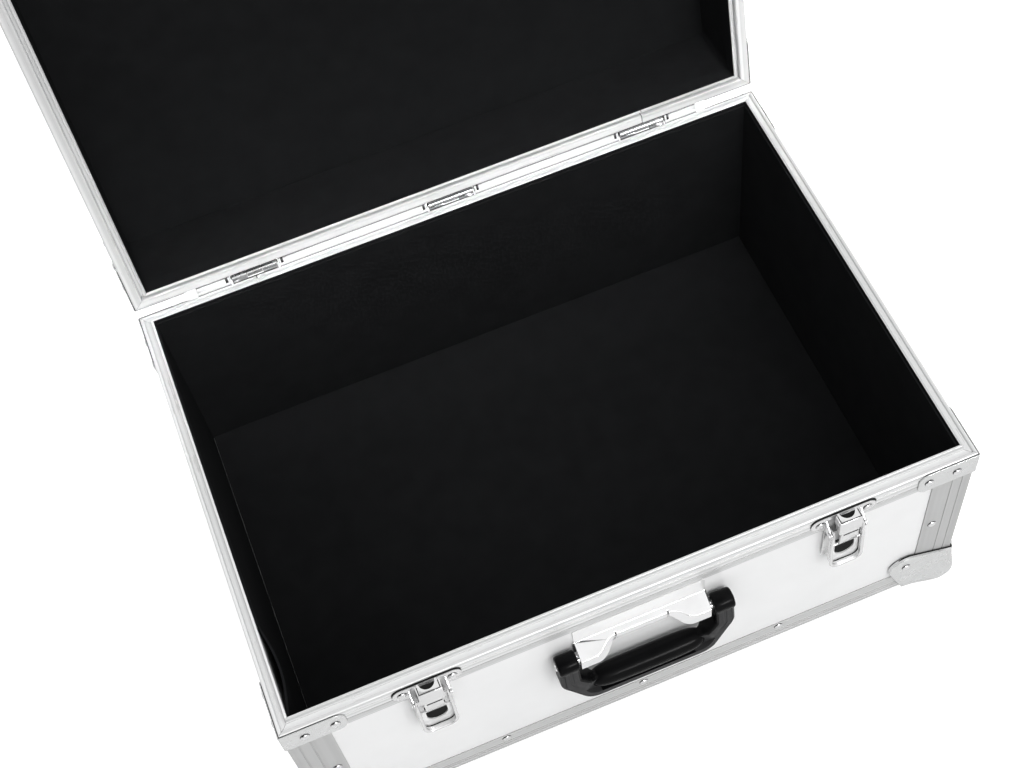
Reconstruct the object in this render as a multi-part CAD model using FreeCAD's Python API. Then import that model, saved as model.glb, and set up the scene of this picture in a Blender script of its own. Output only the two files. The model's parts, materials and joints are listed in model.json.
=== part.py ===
import FreeCAD, Part
import math
import os

# A flight case with its lid open: white panels, aluminium edging, two draw latches and a carrying handle.
# Millimetres. The case stands on z = 0 with its middle over the origin, front to -Y, right to +X.

# Case
case_width = 570.0
case_depth = 400.0
base_height = 208.0
lid_height = 88.0
panel_thickness = 8.0
edging_thickness = 1.2
lid_open_angle = 101.2

# Fits and cuts
overrun = 2.0
rim_gap = 0.3
running_clearance = 0.08
side_clearance = 0.3
hole_clearance = 0.1
mitre_gap = 0.1

# Rim frame of the base
base_rim_width = 10.6
rim_flange_height = 26.0
rim_leg_height = 14.0
rim_edge_chamfer = 0.6
rim_lip_width = 2.6
rim_valley_depth = 1.6
rim_valley_slope = 0.6
rim_web_depth = 3.0
tongue_height = 4.0
tongue_width = 1.9
tongue_chamfer = 0.4
rim_groove_depths = (8.0, 17.0)
groove_width = 1.2
groove_depth = 0.4
base_seam_offset = 12.0

# Rim frame of the lid
lid_rim_width = 14.0
lid_groove_start = 8.2
lid_groove_end = 11.5
lid_groove_depth = 5.2
lid_web_depth = 7.0
lid_leg_thickness = 1.2
lid_seam_offset = 12.0

# Lining
base_lining_reach = 2.0
base_lining_drop = 2.5
lining_gap = 0.2
floor_lining_thickness = 3.0

# Edging angles
bottom_wall_flange = 26.0
bottom_floor_flange = 25.0
upright_flange = 35.0
bottom_groove_offsets = (4.0, 8.5, 13.0)
upright_groove_offsets = (9.0, 18.0)
edging_chamfer = 0.8
edging_cut_back = 16.0
edging_joint_gap = 0.2

# Ball corners
cap_standoff = 3.2
cap_thickness = 1.2
cap_edge_radius = 8.0
cap_edge_length = 41.0
cap_lobe_centre = 44.0
cap_lobe_radius = 15.0
ball_radius = 15.0
ball_bulge = 5.5
ball_flat = 0.5
panel_corner_margin = 0.8

# Rim corner brackets
bracket_leg = 50.0
bracket_height = 26.5
bracket_thickness = 1.5
bracket_drop = 1.2
bracket_end_radius = 9.0
bracket_bend_radius = 1.4
bracket_rivet_offsets = (17.0, 41.0)

# Rivets
rivet_head_radius = 3.9
rivet_head_height = 1.7
rivet_shank_radius = 1.6
rivet_bite = 5.0
long_edge_rivets = 3
short_edge_rivets = 2
edge_rivet_spacing = 124.5
edge_rivet_height = 21.5
upright_rivet_offset = 26.6
upright_rivet_drop = 101.0

# Hinges
hinge_back = 4.4
hinge_rise = 3.0
hinge_count = 3
hinge_end_inset = 105.0
hinge_width = 41.0
knuckle_radius = 3.8
hinge_pin_radius = 1.5
hinge_pin_end = 0.8
leaf_thickness = 1.5
leaf_height = 24.0
leaf_gap = 0.5
leaf_swing_gap = 0.4
leaf_rivet_spacing = 24.0
leaf_rivet_drop = 15.0

# Gap strip between the hinges
strip_end_inset = 53.0
strip_window_gap = 1.6
strip_flat_distance = 3.1
strip_flat_angle = 25.0
strip_slot_offset = 25.0
strip_slot_width = 2.2
strip_slot_depth = 3.0

# Latches
latch_end_inset = 114.0
latch_sheet = 1.2
latch_plate_half = 15.2
latch_plate_top = 4.0
latch_plate_bottom = 58.0
latch_ear_half = 27.5
latch_ear_top = 4.5
latch_ear_bottom = 20.5
latch_ear_radius = 7.5
latch_rivet_offset = 20.0
latch_rivet_drop = 12.5
latch_cheek_top = 9.0
latch_cheek_bottom = 27.0
latch_cheek_nose = 3.0
lever_pivot_out = 8.6
lever_pivot_drop = 20.0
lever_pivot_radius = 1.4
pivot_head_radius = 2.4
pivot_head_height = 0.9
lever_half = 13.5
lever_top = 3.2
lever_length = 51.0
lever_floor_back = 3.6
lever_wall_front = 1.9
lever_rest_tilt = 3.5
finger_hole_half = 8.3
finger_hole_top = 20.5
finger_hole_straight = 9.5
hook_half = 10.0
hook_back = 3.2
hook_front = 13.0
hook_top = 1.0
hook_fold_radius = 1.8
hook_skirt_bottom = 15.0
hook_line_width = 1.2
hook_line_depth = 0.5
hook_tail_half = 8.0
hook_notch_radius = 7.0
hook_eye_radius = 2.0
hook_eye_out = 9.7
hook_eye_drop = 38.0
hook_pin_radius = 1.2
spring_half = 1.6
spring_sheet = 0.6
spring_top = 29.0
spring_foot_bottom = 36.0
spring_bow_out = 3.0
spring_bow_drop = 48.0
spring_tip_out = 1.6
spring_tip_drop = 55.0

# Strikes on the lid
strike_top = 21.0
strike_bottom = 2.0
strike_tongue_half = 9.5
strike_tongue_back = 0.4
strike_lip_out = 2.9
strike_lip_top = 0.7
strike_lip_thickness = 1.2

# Handle
handle_half_width = 74.0
handle_arm_width = 17.0
handle_plate_gap = 0.5
handle_plate_top = 46.5
handle_plate_bottom = 66.0
handle_plate_sheet = 1.5
handle_plate_radius = 3.0
hood_end_gap = 2.0
hood_lug_width = 10.0
hood_lug_out = 14.0
hood_lug_top = 56.0
hood_lug_bottom = 69.5
hood_sweep_run = 23.0
hood_middle_out = 5.0
hood_middle_bottom = 58.5
hood_slit_width = 0.8
handle_pivot_out = 9.5
handle_pivot_drop = 57.0
handle_pin_radius = 3.0
handle_pin_bite = 5.0
handle_pin_end = 1.2
handle_pin_chamfer = 0.6
handle_boss_radius = 8.5
handle_arm_straight = 28.0
handle_arm_taper = 16.0
handle_corner_run = 21.0
handle_inner_run = 13.0
handle_bar_top = 37.0
handle_bar_bottom = 66.0
handle_inner_straight = 22.0
handle_thickness = 20.0
handle_edge_radius = 5.0
handle_rest_tilt = 2.5
handle_rivet_radius = 2.4
handle_rivet_end = 8.0
handle_rivet_inset = 7.0

# Levels and faces worked out from the sizes above
half_x = case_width / 2
half_y = case_depth / 2
foot_drop = ball_bulge - ball_flat
rim_z = foot_drop + base_height
lid_z = rim_z + rim_gap
lid_top_z = lid_z + lid_height
panel_inner = edging_thickness + panel_thickness
hinge_y = half_y + hinge_back
hinge_z = rim_z + hinge_rise
tongue_start = base_rim_width - tongue_width
hinge_spacing = half_x - hinge_end_inset
base_seam_x = base_seam_offset - hinge_spacing
lid_seam_x = hinge_spacing + lid_seam_offset
strip_reach = half_x - strip_end_inset
latch_offset = half_x - latch_end_inset
handle_arm_inner = handle_half_width - handle_arm_width
handle_bar_half = handle_half_width - handle_corner_run
handle_bar_inner_half = handle_arm_inner - handle_inner_run
handle_plate_half = handle_arm_inner - handle_plate_gap
hood_half = handle_arm_inner - hood_end_gap
hood_lug_inner = hood_half - hood_lug_width
hood_middle_half = hood_lug_inner - hood_sweep_run
handle_pin_inner = hood_half - handle_pin_bite
handle_rivet_offset = hood_half - handle_rivet_end
quarter_turn = 90.0
half_turn = 180.0

Vec = FreeCAD.Vector
AXIS_X = Vec(1, 0, 0)
AXIS_Y = Vec(0, 1, 0)
AXIS_Z = Vec(0, 0, 1)
FRONT = Vec(0, -1, 0)
BACK = Vec(0, 1, 0)
LEFT = Vec(-1, 0, 0)
RIGHT = Vec(1, 0, 0)
UP = Vec(0, 0, 1)
corners = [(-1, -1), (1, -1), (1, 1), (-1, 1)]
os.makedirs("parts", exist_ok=True)


def box(low, high):
    """A block between two corner points."""
    size = high - low
    return Part.makeBox(size.x, size.y, size.z, low)


def prism(near, far):
    """A solid between two matching outlines, one side face per outline edge."""
    count = len(near)
    faces = [Part.Face(Part.makePolygon(near + near[:1])), Part.Face(Part.makePolygon(far + far[:1]))]
    for i in range(count):
        j = (i + 1) % count
        faces.append(Part.Face(Part.makePolygon([near[i], near[j], far[j], far[i], near[i]])))
    solid = Part.Solid(Part.Shell(faces))
    if solid.Volume < 0:
        solid.reverse()
    return solid


def rod(start, direction, length, radius):
    """A round bar."""
    return Part.makeCylinder(radius, length, start, direction)


def fused(shapes):
    """Shapes joined into one clean solid."""
    return shapes[0].multiFuse(shapes[1:]).removeSplitter()


def front_point(x, out, drop):
    """A point off the front face of the base, measured out from it and down from the rim."""
    return Vec(x, -half_y - out, rim_z - drop)


def front_prism(x0, x1, outline):
    """An outline of (out, drop) pairs on the front face, carried from x0 to x1."""
    points = [front_point(x0, out, drop) for out, drop in outline]
    return Part.Face(Part.makePolygon(points + points[:1])).extrude(Vec(x1 - x0, 0, 0))


def front_plate(x0, x1, top, bottom, back, face, radius):
    """An upright plate on the front face with rounded corners."""
    plate = box(front_point(x0, face, bottom), front_point(x1, back, top))
    edges = [e for e in plate.Edges if abs(e.tangentAt(e.FirstParameter).y) > 1 - 1e-6]
    return plate.makeFillet(radius, edges)


def opened(shape):
    """A lid piece swung from closed to the open pose."""
    turned = shape.copy()
    turned.rotate(Vec(0, hinge_y, hinge_z), AXIS_X, -lid_open_angle)
    return turned


def save(name, solids):
    """Write one node."""
    Part.makeCompound(solids).exportStep("parts/" + name + ".step")
    print(name, len(solids))


# Rivets: a place on the case face, the direction of the head and how far the head stands off the face
def rivet_solid(place, normal, standoff):
    """A domed rivet with its shank in the panel."""
    dome = (rivet_head_radius ** 2 + rivet_head_height ** 2) / (2 * rivet_head_height)
    ball = Part.makeSphere(dome, Vec(0, 0, rivet_head_height - dome))
    head = ball.common(Part.makeCylinder(rivet_head_radius + overrun, rivet_head_height + overrun))
    grip = standoff + edging_thickness + rivet_bite
    shank = rod(Vec(0, 0, -grip), AXIS_Z, grip, rivet_shank_radius)
    solid = fused([head, shank])
    turn = FreeCAD.Rotation(AXIS_Z, normal)
    solid.Placement = FreeCAD.Placement(place + normal * standoff, turn)
    return solid


def rivet_hole(place, normal, standoff):
    """The hole that a rivet shank passes through."""
    depth = standoff + edging_thickness + rivet_bite + hole_clearance
    start = place + normal * (standoff + overrun)
    return rod(start, -normal, depth + overrun, rivet_shank_radius + hole_clearance)


def drilled(shape, groups):
    """A piece with the holes of the rivets that reach it."""
    limits = shape.BoundBox
    holes = [rivet_hole(*rivet) for group in groups for rivet in group]
    near = [hole for hole in holes if hole.BoundBox.intersect(limits)]
    return shape.cut(near) if near else shape


def spread(count, spacing):
    """Places spread evenly about the middle."""
    return [(i - (count - 1) / 2) * spacing for i in range(count)]


def edge_rivets(face_z, sign, wall_z):
    """Rivets along the bottom or top angles, on the walls and on the flat."""
    found = []
    inset = edge_rivet_height
    for x in spread(long_edge_rivets, edge_rivet_spacing):
        for side in (FRONT, BACK):
            found.append((Vec(x, side.y * half_y, wall_z), side, 0))
            found.append((Vec(x, side.y * (half_y - inset), face_z), UP * sign, 0))
    for y in spread(short_edge_rivets, edge_rivet_spacing):
        for side in (LEFT, RIGHT):
            found.append((Vec(side.x * half_x, y, wall_z), side, 0))
            found.append((Vec(side.x * (half_x - inset), y, face_z), UP * sign, 0))
    return found


def upright_rivets(z):
    """One rivet in each flange of the upright angles."""
    found = []
    for sx, sy in corners:
        found.append((Vec(sx * (half_x - upright_rivet_offset), sy * half_y, z), AXIS_Y * sy, 0))
        found.append((Vec(sx * half_x, sy * (half_y - upright_rivet_offset), z), AXIS_X * sx, 0))
    return found


def cap_rivets(face_z, sign):
    """One rivet in each lobe of the ball corners."""
    found = []
    c = cap_lobe_centre
    for sx, sy in corners:
        z = face_z - sign * c
        found.append((Vec(sx * (half_x - c), sy * half_y, z), AXIS_Y * sy, cap_standoff))
        found.append((Vec(sx * half_x, sy * (half_y - c), z), AXIS_X * sx, cap_standoff))
        found.append((Vec(sx * (half_x - c), sy * (half_y - c), face_z), UP * sign, cap_standoff))
    return found


def bracket_rivets(z):
    """Two rivets in each leg of the rim corner brackets."""
    found = []
    for sx, sy in corners:
        for offset in bracket_rivet_offsets:
            found.append((Vec(sx * (half_x - offset), sy * half_y, z), AXIS_Y * sy, bracket_thickness))
            found.append((Vec(sx * half_x, sy * (half_y - offset), z), AXIS_X * sx, bracket_thickness))
    return found


hinge_places = spread(hinge_count, hinge_spacing)
latch_places = [-latch_offset, latch_offset]
strip_ends = [-strip_reach] + hinge_places + [strip_reach]
strip_window = hinge_width / 2 + strip_window_gap
bracket_middle = bracket_drop + bracket_height / 2

base_edge_rivets = edge_rivets(foot_drop, -1, foot_drop + edge_rivet_height)
base_edge_rivets += upright_rivets(rim_z - upright_rivet_drop)
base_cap_rivets = cap_rivets(foot_drop, -1)
base_bracket_rivets = bracket_rivets(rim_z - bracket_middle)
base_leaf_rivets = []
lid_leaf_rivets = []
for hinge_x in hinge_places:
    for dx in spread(2, leaf_rivet_spacing):
        base_place = Vec(hinge_x + dx, half_y, rim_z - leaf_rivet_drop)
        lid_place = Vec(hinge_x + dx, half_y, lid_z + leaf_rivet_drop)
        base_leaf_rivets.append((base_place, BACK, leaf_thickness))
        lid_leaf_rivets.append((lid_place, BACK, leaf_thickness))
for i in range(len(strip_ends) - 1):
    middle = (strip_ends[i] + strip_ends[i + 1]) / 2
    if i == 0:
        middle -= strip_window / 2
    if i == len(strip_ends) - 2:
        middle += strip_window / 2
    base_leaf_rivets.append((Vec(middle, half_y, rim_z - leaf_rivet_drop), BACK, latch_sheet))
latch_rivets = []
strike_rivets = []
for latch_x in latch_places:
    for dx in (-latch_rivet_offset, latch_rivet_offset):
        latch_rivets.append((front_point(latch_x + dx, 0, latch_rivet_drop), FRONT, latch_sheet))
        strike_rivets.append((Vec(latch_x + dx, -half_y, lid_z + latch_rivet_drop), FRONT, latch_sheet))

lid_edge_rivets = edge_rivets(lid_top_z, 1, lid_top_z - edge_rivet_height)
lid_cap_rivets = cap_rivets(lid_top_z, 1)
lid_bracket_rivets = bracket_rivets(lid_z + bracket_middle)
base_groups = [base_edge_rivets, base_cap_rivets, base_bracket_rivets, base_leaf_rivets, latch_rivets]
lid_groups = [lid_edge_rivets, lid_cap_rivets, lid_bracket_rivets, lid_leaf_rivets, strike_rivets]


# Panels: five boards, with the outer corners taken off inside the ball corners
def corner_relief(sx, sy, face_z, up):
    """The wedge taken off a corner of the boards, up = 1 at the bottom and -1 at the top."""
    ball_inset = ball_radius - ball_bulge
    keep = ball_radius - cap_thickness - panel_corner_margin
    reach = 3 * ball_inset - keep * math.sqrt(3)

    def place(a, b, c):
        return Vec(sx * (half_x - a), sy * (half_y - b), face_z + up * c)

    far = reach + 2 * overrun
    apex = place(-overrun, -overrun, -overrun)
    tips = [place(far, -overrun, -overrun), place(-overrun, far, -overrun), place(-overrun, -overrun, far)]
    faces = [Part.Face(Part.makePolygon(tips + tips[:1]))]
    for i in range(3):
        j = (i + 1) % 3
        faces.append(Part.Face(Part.makePolygon([apex, tips[i], tips[j], apex])))
    solid = Part.Solid(Part.Shell(faces))
    if solid.Volume < 0:
        solid.reverse()
    return solid


def panel_set(flat_z, up, wall_top):
    """The flat board and the four walls of the base (up = 1) or of the lid (up = -1)."""
    px = half_x - edging_thickness
    py = half_y - edging_thickness
    ix = half_x - panel_inner
    iy = half_y - panel_inner
    outer = flat_z + up * edging_thickness
    inner = flat_z + up * panel_inner
    low, high = min(outer, wall_top), max(outer, wall_top)
    flat_low, flat_high = min(outer, inner), max(outer, inner)
    boards = {
        "front": box(Vec(-px, -py, low), Vec(px, -iy, high)),
        "back": box(Vec(-px, iy, low), Vec(px, py, high)),
        "left": box(Vec(-px, -iy, low), Vec(-ix, iy, high)),
        "right": box(Vec(ix, -iy, low), Vec(px, iy, high)),
        "flat": box(Vec(-ix, -iy, flat_low), Vec(ix, iy, flat_high)),
    }
    reliefs = [corner_relief(sx, sy, flat_z, up) for sx, sy in corners]
    for side in ("front", "back"):
        boards[side] = boards[side].cut(reliefs)
    return boards


handle_rivets = []
for sx in (-1, 1):
    for drop in (handle_plate_top + handle_rivet_inset, handle_plate_bottom - handle_rivet_inset):
        handle_rivets.append((sx * handle_rivet_offset, drop))
handle_plate_face = handle_plate_sheet - edging_thickness
handle_rivet_depth = handle_plate_sheet + rivet_bite


def handle_rivet(x, drop, radius, extra):
    """A flush rivet through the handle plate, or its hole."""
    start = front_point(x, handle_plate_face + extra, drop)
    return rod(start, BACK, handle_rivet_depth + 2 * extra, radius)


base_boards = panel_set(foot_drop, 1, rim_z - rim_web_depth)
handle_hole_radius = handle_rivet_radius + hole_clearance
handle_holes = [handle_rivet(x, drop, handle_hole_radius, hole_clearance) for x, drop in handle_rivets]
base_boards["front"] = base_boards["front"].cut(handle_holes)
for side, board in base_boards.items():
    node = "base_bottom_panel" if side == "flat" else "base_" + side + "_panel"
    save(node, [drilled(board, base_groups)])
lid_boards = panel_set(lid_top_z, -1, lid_z + lid_web_depth)
for side, board in lid_boards.items():
    node = "lid_top_panel" if side == "flat" else "lid_" + side + "_panel"
    save(node, [opened(drilled(board, lid_groups))])


# Rim frames: bars with one profile each, mitred at the corners, the back bar in two lengths
def face_grooves(depths, sign):
    """Notches down the outer face of a rim flange, from the far edge to the lip."""
    points = []
    for depth in sorted(depths, reverse=True):
        points.append((0, sign * (depth + groove_width / 2)))
        points.append((groove_depth, sign * (depth + groove_width / 2)))
        points.append((groove_depth, sign * (depth - groove_width / 2)))
        points.append((0, sign * (depth - groove_width / 2)))
    return points


valley_end = tongue_start - rim_valley_slope
base_rim_profile = [(0, -rim_flange_height)] + face_grooves(rim_groove_depths, -1)
base_rim_profile += [
    (0, -rim_edge_chamfer),
    (rim_edge_chamfer, 0),
    (rim_lip_width, 0),
    (rim_lip_width + rim_valley_slope, -rim_valley_depth),
    (valley_end, -rim_valley_depth),
    (tongue_start, tongue_height - tongue_chamfer),
    (tongue_start + tongue_chamfer, tongue_height),
    (base_rim_width - tongue_chamfer, tongue_height),
    (base_rim_width, tongue_height - tongue_chamfer),
    (base_rim_width, -rim_leg_height),
    (panel_inner, -rim_leg_height),
    (panel_inner, -rim_web_depth),
    (edging_thickness, -rim_web_depth),
    (edging_thickness, -rim_flange_height),
]
lid_rim_profile = [(0, rim_flange_height)] + face_grooves(rim_groove_depths, 1)
lid_rim_profile += [
    (0, rim_edge_chamfer),
    (rim_edge_chamfer, 0),
    (lid_groove_start - rim_edge_chamfer, 0),
    (lid_groove_start, rim_edge_chamfer),
    (lid_groove_start, lid_groove_depth),
    (lid_groove_end, lid_groove_depth),
    (lid_groove_end, rim_edge_chamfer),
    (lid_groove_end + rim_edge_chamfer, 0),
    (lid_rim_width - rim_edge_chamfer, 0),
    (lid_rim_width, rim_edge_chamfer),
    (lid_rim_width, rim_leg_height),
    (lid_rim_width - lid_leg_thickness, rim_leg_height),
    (lid_rim_width - lid_leg_thickness, lid_web_depth),
    (edging_thickness, lid_web_depth),
    (edging_thickness, rim_flange_height),
]


def mitre_end(profile, corner, along, z):
    """The profile in the mitre plane of a corner, drawn back along the bar by the mitre gap."""
    sx, sy = corner
    return [Vec(sx * (half_x - n), sy * (half_y - n), z + h) - along * mitre_gap for n, h in profile]


def square_end(profile, x, z):
    """The profile across the back bar at x."""
    return [Vec(x, half_y - n, z + h) for n, h in profile]


def rim_bars(profile, z, seam_x):
    """Front, right and left bars and the two back lengths."""
    fl, fr, br, bl = corners
    bars = {
        "front": [prism(mitre_end(profile, fl, LEFT, z), mitre_end(profile, fr, RIGHT, z))],
        "right": [prism(mitre_end(profile, fr, FRONT, z), mitre_end(profile, br, BACK, z))],
        "left": [prism(mitre_end(profile, fl, FRONT, z), mitre_end(profile, bl, BACK, z))],
    }
    left_part = prism(mitre_end(profile, bl, LEFT, z), square_end(profile, seam_x - mitre_gap, z))
    right_part = prism(square_end(profile, seam_x + mitre_gap, z), mitre_end(profile, br, RIGHT, z))
    bars["back"] = [left_part, right_part]
    return bars


for side, bars in rim_bars(base_rim_profile, rim_z, base_seam_x).items():
    save("base_rim_" + side, [drilled(bar, base_groups) for bar in bars])
for side, bars in rim_bars(lid_rim_profile, lid_z, lid_seam_x).items():
    save("lid_rim_" + side, [opened(drilled(bar, lid_groups)) for bar in bars])


# Lining: a sheet on each wall, mitred at the corners, and one on the flat
def lining_walls(profile):
    """Four wall sheets from one profile of (inset, height) pairs."""
    sheets = []
    for i in range(len(corners)):
        near = [Vec(corners[i][0] * (half_x - n), corners[i][1] * (half_y - n), z) for n, z in profile]
        j = (i + 1) % len(corners)
        far = [Vec(corners[j][0] * (half_x - n), corners[j][1] * (half_y - n), z) for n, z in profile]
        sheets.append(prism(near, far))
    return sheets


def lining_flat(inset, z0, z1):
    """The sheet on the bottom board or under the top board."""
    return box(Vec(-half_x + inset, -half_y + inset, z0), Vec(half_x - inset, half_y - inset, z1))


base_floor = foot_drop + panel_inner
base_floor_lining = base_floor + floor_lining_thickness
base_lining_inner = base_rim_width + base_lining_reach
base_lining_profile = [
    (panel_inner, base_floor),
    (base_lining_inner, base_floor),
    (base_lining_inner, rim_z - base_lining_drop),
    (base_rim_width, rim_z - base_lining_drop),
    (base_rim_width, rim_z - rim_leg_height - lining_gap),
    (panel_inner, rim_z - rim_leg_height - lining_gap),
]
lid_ceiling = lid_top_z - panel_inner
lid_ceiling_lining = lid_ceiling - floor_lining_thickness
lid_lining_inner = lid_rim_width - lid_leg_thickness
lid_lining_profile = [
    (panel_inner, lid_z + lid_web_depth),
    (lid_lining_inner, lid_z + lid_web_depth),
    (lid_lining_inner, lid_ceiling_lining),
    (panel_inner, lid_ceiling_lining),
]
save("base_wall_lining", lining_walls(base_lining_profile))
floor_inset = base_lining_inner + lining_gap
save("base_floor_lining", [lining_flat(floor_inset, base_floor, base_floor_lining)])
save("lid_wall_lining", [opened(sheet) for sheet in lining_walls(lid_lining_profile)])
save("lid_top_lining", [opened(lining_flat(panel_inner, lid_ceiling_lining, lid_ceiling))])


# Edging angles: one L profile with grooves in its outer faces
def angle_profile(first, second, offsets):
    """The L section as (a, b) pairs, a along the first flange and b along the second."""
    t = edging_thickness
    g = groove_width / 2
    points = [(edging_chamfer, 0)]
    for offset in offsets:
        points += [(offset - g, 0), (offset - g, groove_depth), (offset + g, groove_depth), (offset + g, 0)]
    points += [(first, 0), (first, t), (t, t), (t, second), (0, second)]
    for offset in reversed(offsets):
        points += [(0, offset + g), (groove_depth, offset + g), (groove_depth, offset - g), (0, offset - g)]
    points.append((0, edging_chamfer))
    return points


def edge_angles(flat_z, up):
    """The four angles round the bottom or the top."""
    profile = angle_profile(bottom_wall_flange, bottom_floor_flange, bottom_groove_offsets)
    long_x = half_x - edging_cut_back
    short_y = half_y - bottom_floor_flange - edging_joint_gap
    found = []
    for s in (-1, 1):
        ends = [[Vec(x, s * (half_y - b), flat_z + up * a) for a, b in profile] for x in (-long_x, long_x)]
        found.append(prism(*ends))
        ends = [[Vec(s * (half_x - b), y, flat_z + up * a) for a, b in profile] for y in (-short_y, short_y)]
        found.append(prism(*ends))
    return found


def upright_angles(z0, z1):
    """The four angles down the corners."""
    profile = angle_profile(upright_flange, upright_flange, upright_groove_offsets)
    found = []
    for sx, sy in corners:
        ends = [[Vec(sx * (half_x - a), sy * (half_y - b), z) for a, b in profile] for z in (z0, z1)]
        found.append(prism(*ends))
    return found


upright_low = foot_drop + bottom_wall_flange + edging_joint_gap
upright_high = rim_z - rim_flange_height - edging_joint_gap
base_angles = edge_angles(foot_drop, 1)
save("base_bottom_angles", [drilled(bar, base_groups) for bar in base_angles])
base_uprights = upright_angles(upright_low, upright_high)
save("base_upright_angles", [drilled(bar, base_groups) for bar in base_uprights])
lid_upright_low = lid_z + rim_flange_height + edging_joint_gap
lid_upright_high = lid_top_z - bottom_wall_flange - edging_joint_gap
save("lid_top_angles", [opened(drilled(bar, lid_groups)) for bar in edge_angles(lid_top_z, -1)])
lid_uprights = upright_angles(lid_upright_low, lid_upright_high)
save("lid_upright_angles", [opened(drilled(bar, lid_groups)) for bar in lid_uprights])


# Ball corners: three lobes folded over the corner and a ball, hollow inside
def lobe_face(edge, radius, start):
    """One lobe outline on the plane z = 0, with straight sides that run tangent into the round tip."""
    c = cap_lobe_centre
    reach = math.hypot(c - edge, c - start)
    tilt = math.atan2(c - start, c - edge) - math.asin(radius / reach)
    run = math.sqrt(reach ** 2 - radius ** 2)
    side = Vec(edge + run * math.cos(tilt), start + run * math.sin(tilt), 0)
    mate = Vec(side.y, side.x, 0)
    tip = c + radius / math.sqrt(2)
    lines = [
        Part.makeLine(Vec(start, start, 0), Vec(edge, start, 0)),
        Part.makeLine(Vec(edge, start, 0), side),
        Part.Arc(side, Vec(tip, tip, 0), mate).toShape(),
        Part.makeLine(mate, Vec(start, edge, 0)),
        Part.makeLine(Vec(start, edge, 0), Vec(start, start, 0)),
    ]
    return Part.Face(Part.Wire(lines))


def cap_form(standoff, edge, lobe, edge_radius, ball):
    """The cap as a filled form over a corner at the origin, the case filling x, y, z > 0."""
    slab = lobe_face(edge, lobe, -standoff).extrude(Vec(0, 0, standoff))
    slab.translate(Vec(0, 0, -standoff))
    slabs = [slab]
    for turn in (1, 2):
        other = slab.copy()
        other.rotate(Vec(0, 0, 0), Vec(1, 1, 1), turn * (quarter_turn + half_turn / 6))
        slabs.append(other)
    reach = cap_lobe_centre + cap_lobe_radius + overrun
    block = box(Vec(-standoff, -standoff, -standoff), Vec(reach, reach, reach))
    outer = [e for e in block.Edges if sum(v.Point.Length < reach / 2 for v in e.Vertexes)]
    rounded = block.makeFillet(edge_radius, outer)
    folded = fused(slabs).common(rounded)
    inset = ball_radius - ball_bulge
    sphere = Part.makeSphere(ball, Vec(inset, inset, inset))
    far = -standoff - overrun
    zone = box(Vec(far, far, far), Vec(inset, inset, inset))
    return fused([folded.cut(zone.cut(sphere)), sphere])


def ball_corner():
    """One cap at the origin, seated on the edging, with the standing flat under it."""
    shell = cap_form(cap_standoff, cap_edge_length, cap_lobe_radius, cap_edge_radius, ball_radius)
    t = cap_thickness
    hollow = cap_form(cap_standoff - t, cap_edge_length - t, cap_lobe_radius - t, cap_edge_radius - t,
                      ball_radius - t)
    reach = cap_lobe_centre + 2 * cap_lobe_radius
    inside = box(Vec(0, 0, 0), Vec(reach, reach, reach))
    below = box(Vec(-reach, -reach, -foot_drop - reach), Vec(reach, reach, -foot_drop))
    return shell.cut([hollow, inside, below])


cap = ball_corner()


def placed_cap(sx, sy, flat_z, up):
    """The cap at one corner of the case."""
    shape = cap.copy()
    if sx > 0:
        shape = shape.mirror(Vec(0, 0, 0), AXIS_X)
    if sy > 0:
        shape = shape.mirror(Vec(0, 0, 0), AXIS_Y)
    if up < 0:
        shape = shape.mirror(Vec(0, 0, 0), AXIS_Z)
    shape.translate(Vec(sx * half_x, sy * half_y, flat_z))
    return shape


base_caps = [placed_cap(sx, sy, foot_drop, 1) for sx, sy in corners]
save("base_ball_corners", [drilled(piece, [base_cap_rivets]) for piece in base_caps])
lid_caps = [placed_cap(sx, sy, lid_top_z, -1) for sx, sy in corners]
save("lid_ball_corners", [opened(drilled(piece, [lid_cap_rivets])) for piece in lid_caps])


# Rim corner brackets: a strip folded round the corner, with rounded ends
def bracket_leg_plate(z0):
    """One leg along +X from a corner at the origin, its inner face on y = 0."""
    t = bracket_thickness
    plate = box(Vec(-t, -t, z0), Vec(bracket_leg, 0, z0 + bracket_height))
    far = [e for e in plate.Edges if e.CenterOfMass.x > bracket_leg - overrun and e.Length < t + overrun]
    return plate.makeFillet(bracket_end_radius, [e for e in far if abs(e.CenterOfMass.y + t / 2) < t / 4])


def corner_bracket(sx, sy, z0):
    """The folded bracket at one corner."""
    leg = bracket_leg_plate(z0)
    other = leg.mirror(Vec(0, 0, 0), Vec(1, -1, 0))
    shape = fused([leg, other])
    t = bracket_thickness
    fold = [e for e in shape.Edges if (e.CenterOfMass - Vec(-t, -t, z0 + bracket_height / 2)).Length < t / 4]
    shape = shape.makeFillet(bracket_bend_radius, fold)
    if sx > 0:
        shape = shape.mirror(Vec(0, 0, 0), AXIS_X)
    if sy > 0:
        shape = shape.mirror(Vec(0, 0, 0), AXIS_Y)
    shape.translate(Vec(sx * half_x, sy * half_y, 0))
    return shape


base_brackets = [corner_bracket(sx, sy, rim_z - bracket_drop - bracket_height) for sx, sy in corners]
save("base_rim_brackets", [drilled(piece, [base_bracket_rivets]) for piece in base_brackets])
lid_brackets = [corner_bracket(sx, sy, lid_z + bracket_drop) for sx, sy in corners]
save("lid_rim_brackets", [opened(drilled(piece, [lid_bracket_rivets])) for piece in lid_brackets])

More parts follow.
